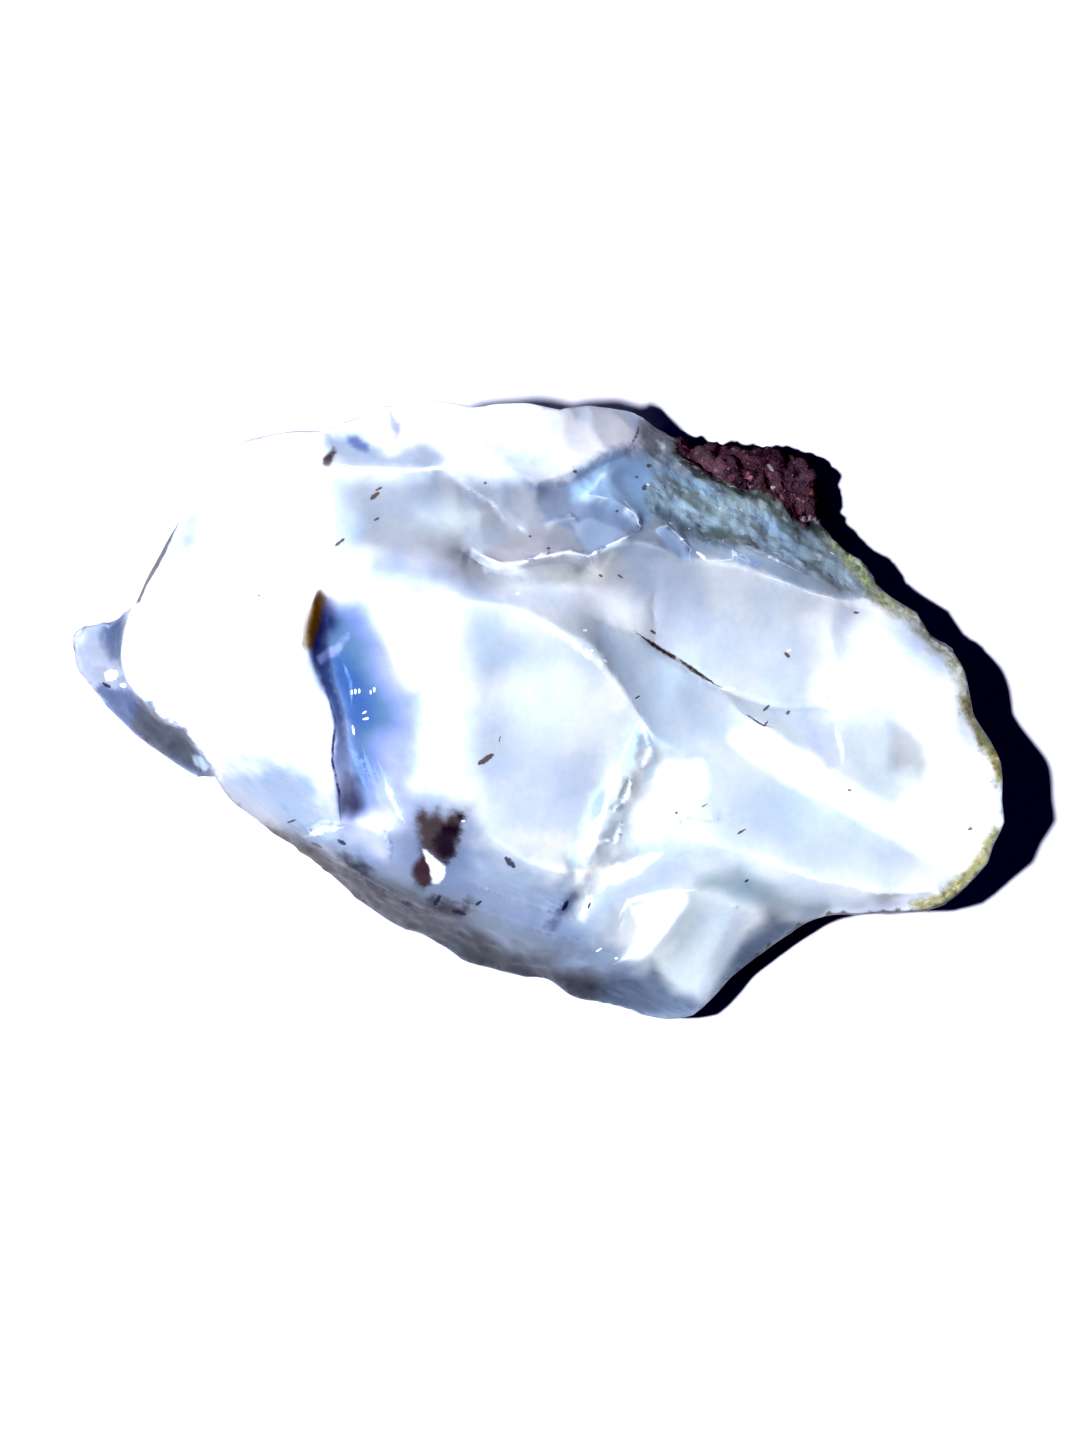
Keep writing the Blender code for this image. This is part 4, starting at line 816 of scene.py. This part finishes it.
def snap(points, normals, lines):
    """Slides the points that lie beside a fine line onto it, within the surface."""
    for line in lines:
        distance, _, _, place = nearest_on_line(points[:, :2], line)
        close = (distance < SNAP) & (normals[:, 2] > SNAP_SLOPE)
        shift = (place - points[:, :2])[close]
        tilt = normals[close]
        rise = -(shift[:, 0] * tilt[:, 0] + shift[:, 1] * tilt[:, 1]) / tilt[:, 2]
        points[close, :2] += shift
        points[close, 2] += rise


def raise_ledges(points, normals):
    """Lifts the surface towards each flake's edge on one side, and lets it dip on the other."""
    upper = smoothstep(normals[:, 2], *LEDGE_SLOPE)
    lift = np.zeros(len(points))
    for ledge in LEDGES.values():
        distance, along, side, _ = nearest_on_line(points[:, :2], ledge.line)
        taper = np.clip(LEDGE_TAPER * np.minimum(along, 1 - along), 0.0, 1.0)
        fade = np.clip(1 - distance / ledge.reach, 0.0, 1.0) ** 2
        raised = (side >= 0) | (distance < ON_LINE)
        lift += np.where(raised, fade, -LEDGE_DIP * fade**2) * ledge.height * taper
    points[:, 2] += lift * upper


def scallop_depths(points, normals):
    """How much each patch of scallops counts at each vertex, from 0 to 1."""
    upper = smoothstep(normals[:, 2], *UPPER_SLOPE)
    return [
        smoothstep(depth_inside(points[:, :2], s.outline), *SCALLOP_EDGE) * upper for s in SCALLOPS
    ]


def bowls(place, size):
    """From 0 in the middle of a scallop to about 1 on the ridges between scallops."""
    bent = place / size + BOWL_BEND * noise.noise_vector(place / (BOWL_BEND_SIZE * size))
    return min(1.0, noise.voronoi(bent)[0][0] * BOWL_RIDGE) ** 2


def grains_at(place, grains):
    near = noise.voronoi(place / grains.lump)[0]
    lumps = grains.lump_height * (grains.level - near[0])
    return lumps + grains.grit_height * noise.noise(place / grains.grit)


def relief(points, normals, zones):
    """Moves the points along their normals: lumps of the host rock, grains of the rind,
    scallops where the fracture broke up, and gentle waves in the clear opal."""
    shift = np.zeros(len(points))
    rock = smoothstep(zones["rock"], *ROCK_EDGE)
    rind = smoothstep(zones["rind"], *RIND_EDGE) * (1 - rock)
    broken = scallop_depths(points, normals)
    below = smoothstep(-normals[:, 2], *UNDER_SLOPE) * (1 - rock) * (1 - rind)
    for i, spot in enumerate(points):
        place = Vector(spot)
        height = WAVE_HEIGHT * noise.noise(place / WAVE_SIZE)
        for scallops, share in zip(SCALLOPS, broken):
            if share[i] > 0:
                height += share[i] * scallops.depth * (bowls(place, scallops.size) - BOWL_MEAN)
        if below[i] > 0:
            height += below[i] * UNDER_DEPTH * (bowls(place, UNDER_SIZE) - BOWL_MEAN)
        if rock[i] > 0:
            height += rock[i] * grains_at(place, ROCK_RELIEF)
        if rind[i] > 0:
            height += rind[i] * grains_at(place, RIND_RELIEF)
        shift[i] = height
    points += normals * shift[:, None]


def edge_ends(mesh):
    ends = np.empty(len(mesh.edges) * 2, np.int32)
    mesh.edges.foreach_get("vertices", ends)
    return ends.reshape(-1, 2)


def averaged(values, ends, rounds):
    """Values at the vertices, each replaced by the mean of its neighbours', time after time."""
    count = len(values)
    valence = np.maximum(np.bincount(ends.ravel(), minlength=count), 1)
    values = values.reshape(count, -1)
    for _ in range(rounds):
        total = np.empty_like(values)
        for k in range(values.shape[1]):
            given = np.concatenate([values[ends[:, 1], k], values[ends[:, 0], k]])
            total[:, k] = np.bincount(np.concatenate([ends[:, 0], ends[:, 1]]), given, count)
        values = total / valence[:, None]
    return values


def proudness(points, normals, ends):
    """How far each vertex stands out of the smoothed surface, in mm, negative in a hollow."""
    smooth = averaged(points, ends, PROUD_ROUNDS)
    return ((points - smooth) * normals).sum(axis=1)


def zones_of(points, normals):
    """How deep each vertex lies in each patch, in mm, for the shader to fade and break up."""
    spots = points[:, :2]
    upper = (normals[:, 2] - UPPER_NORMAL) * FAR
    zones = {}
    for name, patch in PATCHES.items():
        depth = depth_inside(spots, patch.outline)
        if name in SIDE_ONLY:
            depth = np.minimum(depth, (SIDE_NORMAL - normals[:, 2]) * FAR)
        elif name not in UNDER_TOO:
            depth = np.minimum(depth, upper)
        zones[name] = np.clip(depth, -FAR, FAR)
    return zones


def line_offsets(points, marks):
    """Distance to the nearest of the marks in mm, and the same with a sign for the side, in half
    widths of that mark."""
    nearest, offset = np.full(len(points), FAR), np.full(len(points), FAR)
    for mark in marks:
        distance, along, side, _ = nearest_on_line(points[:, :2], mark.line)
        taper = np.clip(LINE_TAPER * np.minimum(along, 1 - along), LINE_TIP, 1.0)
        offset = np.where(distance < nearest, distance * side / mark.width / taper, offset)
        nearest = np.minimum(nearest, distance)
    return nearest, offset


def add_node(tree, kind, inputs=None, **settings):
    made = tree.nodes.new(kind)
    for name, value in settings.items():
        setattr(made, name, value)
    for name, value in (inputs or {}).items():
        if isinstance(value, bpy.types.NodeSocket):
            tree.links.new(value, made.inputs[name])
        else:
            made.inputs[name].default_value = value
    return made


def math_node(tree, operation, *values):
    return add_node(tree, "ShaderNodeMath", dict(enumerate(values)), operation=operation).outputs[0]


def mix_colour(tree, under, over, amount):
    inputs = {0: amount, 6: under, 7: over}
    return add_node(tree, "ShaderNodeMix", inputs, data_type="RGBA").outputs[2]


def ramp(tree, value, low, high, to_low=0.0, to_high=1.0):
    inputs = {"Value": value, "From Min": low, "From Max": high, "To Min": to_low, "To Max": to_high}
    return add_node(
        tree, "ShaderNodeMapRange", inputs, interpolation_type="SMOOTHSTEP"
    ).outputs[0]


def attribute(tree, name):
    return add_node(tree, "ShaderNodeAttribute", attribute_name=name).outputs["Fac"]


def scaled(tree, vector, factor):
    return add_node(
        tree, "ShaderNodeVectorMath", {0: vector, 3: factor}, operation="SCALE"
    ).outputs[0]


def noise_at(tree, place, size, detail, roughness):
    inputs = {"Vector": place, "Scale": 1 / size, "Detail": detail, "Roughness": roughness}
    return add_node(tree, "ShaderNodeTexNoise", inputs).outputs["Fac"]


def wave_at(tree, place, settings):
    """Noise around 0."""
    return math_node(tree, "SUBTRACT", noise_at(tree, place, *settings), 0.5)


def drawn_out(tree, place, angle, scale):
    inputs = {"Vector": place, "Rotation": (0.0, 0.0, angle), "Scale": scale}
    return add_node(tree, "ShaderNodeMapping", inputs, vector_type="TEXTURE").outputs[0]


def streak_noise(tree, place):
    """Noise drawn out along the lower rim, a little bent."""
    inputs = {"Vector": place, "Scale": STREAK_WAVES, "Detail": STREAK_DETAIL}
    bend = add_node(tree, "ShaderNodeTexNoise", inputs)
    bent = add_node(
        tree, "ShaderNodeVectorMath", {0: bend.outputs["Color"], 1: (STREAK_BEND,) * 3, 2: place},
        operation="MULTIPLY_ADD",
    ).outputs[0]
    return noise_at(tree, drawn_out(tree, bent, STREAK_ANGLE, STREAK_SCALE), *STREAK_NOISE)


def fine_colours(tree, colour, noise_value, tints, mask):
    """Streaks or grains of colour within one patch."""
    for low, high, cover, tint in tints:
        share = math_node(tree, "MULTIPLY", ramp(tree, noise_value, low, high, 0.0, cover), mask)
        colour = mix_colour(tree, colour, linear(tint), share)
    return colour


def patch_colours(tree, place, colour, names):
    """The named patches one over another, each with its own streaks or grains, and the cover of
    each. Those with a soft edge wander more slowly."""
    wander, slow_wander = wave_at(tree, place, WANDER_NOISE), wave_at(tree, place, SLOW_NOISE)
    streaks = streak_noise(tree, place)
    grains = noise_at(tree, place, *GRAIN_NOISE)
    masks = {"rock": 0.0, "rind": 0.0}
    for name in names:
        patch = PATCHES[name]
        bend = slow_wander if patch.soft > SLOW_SOFT else wander
        depth = math_node(tree, "MULTIPLY_ADD", bend, 2 * patch.wobble, attribute(tree, name))
        mask = ramp(tree, depth, -patch.soft, patch.soft, 0.0, patch.cover)
        colour = mix_colour(tree, colour, linear(patch.colour), mask)
        colour = fine_colours(tree, colour, streaks, STREAKS.get(name, []), mask)
        colour = fine_colours(tree, colour, grains, GRAINS.get(name, []), mask)
        masks[name] = mask
    return colour, masks


def spotted(tree, place, colour, tints, detail, share=1.0):
    """Spots of several sizes and colours over one another."""
    for size, low, high, cover, tint in tints:
        spots = ramp(tree, noise_at(tree, place, size, *detail), low, high, 0.0, cover)
        spots = math_node(tree, "MULTIPLY", spots, share)
        colour = mix_colour(tree, colour, linear(tint), spots)
    return colour


def rock_colour(tree, place, colour, mask):
    """Host rock: dark red-brown with pink veins, black crevices and pale specks."""
    rock = spotted(tree, place, linear(ROCK), ROCK_TINTS, ROCK_DETAIL)
    return mix_colour(tree, colour, rock, mask)


def rind_colour(tree, place, colour, masks):
    """Rind: blotches of green and of pale blue, with bright drawn-out flecks and dark pits."""
    bare = math_node(tree, "SUBTRACT", 1.0, masks["rock"])
    share = math_node(tree, "MULTIPLY", masks["rind"], bare)
    drawn = drawn_out(tree, place, RIND_ANGLE, RIND_SCALE)
    return spotted(tree, drawn, colour, RIND_TINTS, RIND_DETAIL, share)


def opal_colour(tree, place, colour, clouds, masks):
    """Painted bluish shade in the hollows and a painted milky highlight on the crests, then cloudy and a
    little dusty.
    """
    dull = math_node(tree, "MAXIMUM", masks["rind"], masks["rock"])
    for name in DULL:
        if name in masks:
            dull = math_node(tree, "MAXIMUM", dull, masks[name])
    milky = math_node(tree, "SUBTRACT", 1.0, dull)
    for tint, spread in ((HOLLOW_SHADE, HOLLOW_SHADE_RAMP), (MILK, CREST_HIGHLIGHT_RAMP)):
        share = math_node(tree, "MULTIPLY", ramp(tree, attribute(tree, "proud"), *spread), milky)
        colour = mix_colour(tree, colour, linear(tint), share)
    shade = mix_colour(tree, (*CLEAR, 1.0), (*CLOUDED, 1.0), ramp(tree, clouds, *THICK_RAMP))
    colour = add_node(
        tree, "ShaderNodeVectorMath", {0: colour, 1: shade}, operation="MULTIPLY"
    ).outputs[0]
    return scaled(tree, colour, ramp(tree, noise_at(tree, place, *DUST_NOISE), *DUST_RAMP))


def line_colours(tree, place, colour, fine_wander, names):
    """The fine lines, each broken up along its way."""
    broken = ramp(tree, noise_at(tree, place, *BREAK_NOISE), *BREAK_RAMP)
    for name in names:
        group = LINES[name]
        offset = math_node(tree, "ABSOLUTE", attribute(tree, name + "_offset"))
        offset = math_node(tree, "MULTIPLY_ADD", fine_wander, LINE_WANDER, offset)
        thin = ramp(tree, offset, *LINE_EDGE, 0.0, group.cover)
        near = math_node(tree, "MULTIPLY", ramp(tree, attribute(tree, name), *NEAR_RAMP), broken)
        share = math_node(tree, "MULTIPLY", thin, near)
        colour = mix_colour(tree, colour, linear(group.colour), share)
    return colour


def foci(spot):
    """The two foci of a speck's oval."""
    turn = math.radians(spot.turn if spot.reach > spot.waist else spot.turn + 90)
    off = math.sqrt(abs(spot.reach**2 - spot.waist**2))
    x, y = off * math.cos(turn), off * math.sin(turn)
    return (spot.x - x, spot.y - y, 0.0), (spot.x + x, spot.y + y, 0.0)


def gap_to(tree, plan, focus):
    inputs = {0: plan, 1: focus}
    return add_node(tree, "ShaderNodeVectorMath", inputs, operation="DISTANCE").outputs["Value"]


def speck_colours(tree, place, colour, fine_wander, specks):
    """Specks, each a small ragged oval at its own place on the upper side."""
    flat = {0: place, 1: (1.0, 1.0, 0.0)}
    plan = add_node(tree, "ShaderNodeVectorMath", flat, operation="MULTIPLY").outputs[0]
    upper = attribute(tree, "upper")
    ragged = wave_at(tree, place, RAGGED_NOISE)
    for name, spots in specks.items():
        group = SPECKS[name]
        nearest = FAR
        for spot in spots:
            near, far = foci(spot)
            apart = math.dist(near, far)
            away = math_node(tree, "ADD", gap_to(tree, plan, near), gap_to(tree, plan, far))
            away = math_node(tree, "SUBTRACT", away, apart)
            away = math_node(tree, "DIVIDE", away, 2 * max(spot.reach, spot.waist) - apart)
            nearest = math_node(tree, "MINIMUM", nearest, away)
        for wave in (fine_wander, ragged):
            nearest = math_node(tree, "MULTIPLY_ADD", wave, SPECK_WANDER, nearest)
        mask = ramp(tree, nearest, *SPECK_EDGE, 0.0, group.cover)
        mask = math_node(tree, "MULTIPLY", mask, upper)
        colour = mix_colour(tree, colour, linear(group.colour), mask)
    return colour


def dress_surface(tree, place, shader, masks):
    """Gloss, fine bumps and scattered light: the rind and the rock are rougher and opaque."""
    mottle = noise_at(tree, place, *MOTTLE_NOISE)
    rough = ramp(tree, masks["rind"], 0.0, 1.0, OPAL_ROUGH, RIND_ROUGH)
    rough = math_node(tree, "MULTIPLY_ADD", masks["rock"], ROCK_ROUGHER, rough)
    rough = math_node(tree, "MULTIPLY_ADD", mottle, MOTTLE_ROUGHER, rough)
    tree.links.new(rough, shader.inputs["Roughness"])

    height = math_node(tree, "MULTIPLY", mottle, MOTTLE_HEIGHT)
    gritty = math_node(tree, "MULTIPLY_ADD", masks["rind"], RIND_GRIT, masks["rock"])
    grit = math_node(tree, "MULTIPLY", noise_at(tree, place, *GRIT_NOISE), gritty)
    height = math_node(tree, "MULTIPLY_ADD", grit, GRIT_HEIGHT, height)
    bump = add_node(tree, "ShaderNodeBump", {"Height": height, "Distance": MM, "Strength": 1.0})
    tree.links.new(bump.outputs[0], shader.inputs["Normal"])

    coarse = math_node(tree, "MAXIMUM", masks["rind"], masks["rock"])
    opal = math_node(tree, "SUBTRACT", 1.0, coarse)
    tree.links.new(math_node(tree, "MULTIPLY", opal, SCATTER), shader.inputs["Subsurface Weight"])
    shader.inputs["Subsurface Radius"].default_value = SCATTER_RADIUS
    shader.inputs["Subsurface Scale"].default_value = SCATTER_DEPTH * MM
    shader.inputs["IOR"].default_value = IOR


def stone_material(name, marks):
    """The opal with the patches, lines and specks that one area of it shows."""
    material = bpy.data.materials.new(name)
    material.use_nodes = True
    tree = material.node_tree
    shader = tree.nodes["Principled BSDF"]
    place = scaled(tree, add_node(tree, "ShaderNodeTexCoord").outputs["Object"], 1 / MM)
    fine_wander = wave_at(tree, place, FINE_NOISE)
    clouds = noise_at(tree, place, *CLOUD_NOISE)

    colour = mix_colour(tree, linear(MILK), linear(CLOUD), ramp(tree, clouds, *CLOUD_RAMP))
    colour, masks = patch_colours(tree, place, colour, marks.patches)
    if "rock" in marks.patches:
        colour = rock_colour(tree, place, colour, masks["rock"])
    if "rind" in marks.patches:
        colour = rind_colour(tree, place, colour, masks)
    colour = opal_colour(tree, place, colour, clouds, masks)
    colour = line_colours(tree, place, colour, fine_wander, marks.lines)
    colour = speck_colours(tree, place, colour, fine_wander, marks.specks)
    tree.links.new(colour, shader.inputs["Base Color"])
    dress_surface(tree, place, shader, masks)
    return material


def face_corners(mesh):
    """The face that each corner belongs to, the corner's vertex, and each face's middle in mm."""
    sizes = np.empty(len(mesh.polygons), np.int32)
    mesh.polygons.foreach_get("loop_total", sizes)
    corners = np.empty(len(mesh.loops), np.int32)
    mesh.loops.foreach_get("vertex_index", corners)
    middles = np.empty(len(sizes) * 3, np.float32)
    mesh.polygons.foreach_get("center", middles)
    return np.repeat(np.arange(len(sizes)), sizes), corners, middles.reshape(-1, 3) / MM


def marks_near(spots, zones, nearest):
    """The patches, lines and specks that reach any of these vertices."""
    patches = [
        name for name, patch in PATCHES.items() if zones[name].max() > -patch.soft - patch.wobble
    ]
    lines = [name for name in LINES if nearest[name].min() < LINE_REACH]
    specks = {}
    for name, group in SPECKS.items():
        for spot in group.marks:
            reach = SPECK_REACH * max(spot.reach, spot.waist) + SPECK_GAP
            if np.hypot(spots[:, 0] - spot.x, spots[:, 1] - spot.y).min() < reach:
                specks.setdefault(name, []).append(spot)
    return Marks(patches, lines, specks)


def paint(mesh, points, zones, nearest):
    """Gives each area of the stone a material with only the marks that it shows, which render
    much faster than one material with all of them."""
    face_of, corners, middles = face_corners(mesh)
    column = np.clip((middles[:, 0] / AREA_SIZE + AREA_COLUMNS / 2).astype(int), 0, AREA_COLUMNS - 1)
    row = np.clip((middles[:, 1] / AREA_SIZE + AREA_ROWS / 2).astype(int), 0, AREA_ROWS - 1)
    area = row * AREA_COLUMNS + column
    slots = np.zeros(len(middles), np.int32)
    mesh.materials.clear()
    for k in np.unique(area):
        chosen = np.unique(corners[area[face_of] == k])
        marks = marks_near(
            points[chosen], {name: depth[chosen] for name, depth in zones.items()},
            {name: gap[chosen] for name, gap in nearest.items()},
        )
        slots[area == k] = len(mesh.materials)
        mesh.materials.append(stone_material("rough_opal_%d" % len(mesh.materials), marks))
    mesh.polygons.foreach_set("material_index", slots)


def build_stone():
    noise.seed_set(SEED)
    mesh = subdivided(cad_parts[NODE])
    mesh.name = "opal_stone"
    ends = edge_ends(mesh)
    points, normals = read_points(mesh)
    snap(points, normals, [ledge.line for ledge in LEDGES.values()])
    raise_ledges(points, normals)
    relief(points, normals, zones_of(points, normals))
    write_points(mesh, points)
    points, normals = read_points(mesh)
    zones = zones_of(points, normals)
    for name, depth in zones.items():
        store(mesh, name, depth)
    # How far each vertex stands out, from which the material paints shade into the hollows and highlights
    # onto the crests.
    store(mesh, "proud", averaged(proudness(points, normals, ends), ends, 1).ravel())
    below = np.where(normals[:, 2] > UPPER_NORMAL, 0.0, FAR)
    store(mesh, "upper", 1 - below / FAR)
    nearest = {}
    for name, group in LINES.items():
        gap, offset = line_offsets(points, group.marks)
        nearest[name] = gap + below
        store(mesh, name, nearest[name])
        store(mesh, name + "_offset", offset)
    mesh.shade_smooth()
    paint(mesh, points, zones, nearest)
    stone = bpy.data.objects.new("opal_stone", mesh)
    bpy.context.scene.collection.objects.link(stone)
    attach(stone, "root")
    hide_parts(NODE)


def build_floor():
    mesh = bpy.data.meshes.new("floor")
    half = FLOOR_SIZE / 2
    corners = [(-half, -half, 0), (half, -half, 0), (half, half, 0), (-half, half, 0)]
    mesh.from_pydata(corners, [], [(0, 1, 2, 3)])
    floor = bpy.data.objects.new("floor", mesh)
    bpy.context.scene.collection.objects.link(floor)
    material = bpy.data.materials.new("floor_paper")
    material.use_nodes = True
    shader = material.node_tree.nodes["Principled BSDF"]
    shader.inputs["Base Color"].default_value = (*FLOOR_TINT, 1.0)
    shader.inputs["Roughness"].default_value = FLOOR_ROUGH
    mesh.materials.append(material)


def build_light():
    data = bpy.data.lights.new("key", "AREA")
    data.shape = "DISK"
    data.size = KEY_SIZE
    data.energy = KEY_WATTS
    key = bpy.data.objects.new("key", data)
    azimuth, elevation = math.radians(KEY_AZIMUTH), math.radians(KEY_ELEVATION)
    flat = math.cos(elevation)
    away = Vector((math.cos(azimuth) * flat, math.sin(azimuth) * flat, math.sin(elevation)))
    key.location = away * KEY_DISTANCE
    key.rotation_euler = away.to_track_quat("Z", "Y").to_euler()
    bpy.context.scene.collection.objects.link(key)
    world = bpy.data.worlds.new("sky")
    world.use_nodes = True
    background = world.node_tree.nodes["Background"]
    background.inputs["Color"].default_value = (*SKY, 1.0)
    background.inputs["Strength"].default_value = SKY_STRENGTH
    bpy.context.scene.world = world


def set_display():
    """The photograph's contrast: a gamma, and a black level that deepens the shadow."""
    view = bpy.context.scene.view_settings
    view.view_transform = "Standard"
    view.gamma = VIEW_GAMMA
    view.use_curve_mapping = True
    view.curve_mapping.black_level = BLACK_LEVEL
    view.curve_mapping.update()


def build_camera():
    data = bpy.data.cameras.new("camera")
    data.lens, data.sensor_width = LENS, SENSOR
    camera = bpy.data.objects.new("camera", data)
    distance = PHOTO_HEIGHT * PIXEL * LENS / SENSOR
    camera.location = (*AIM, SHARP_PLANE + distance)
    bpy.context.scene.collection.objects.link(camera)
    bpy.context.scene.camera = camera


build_stone()
build_floor()
build_light()
set_display()
build_camera()
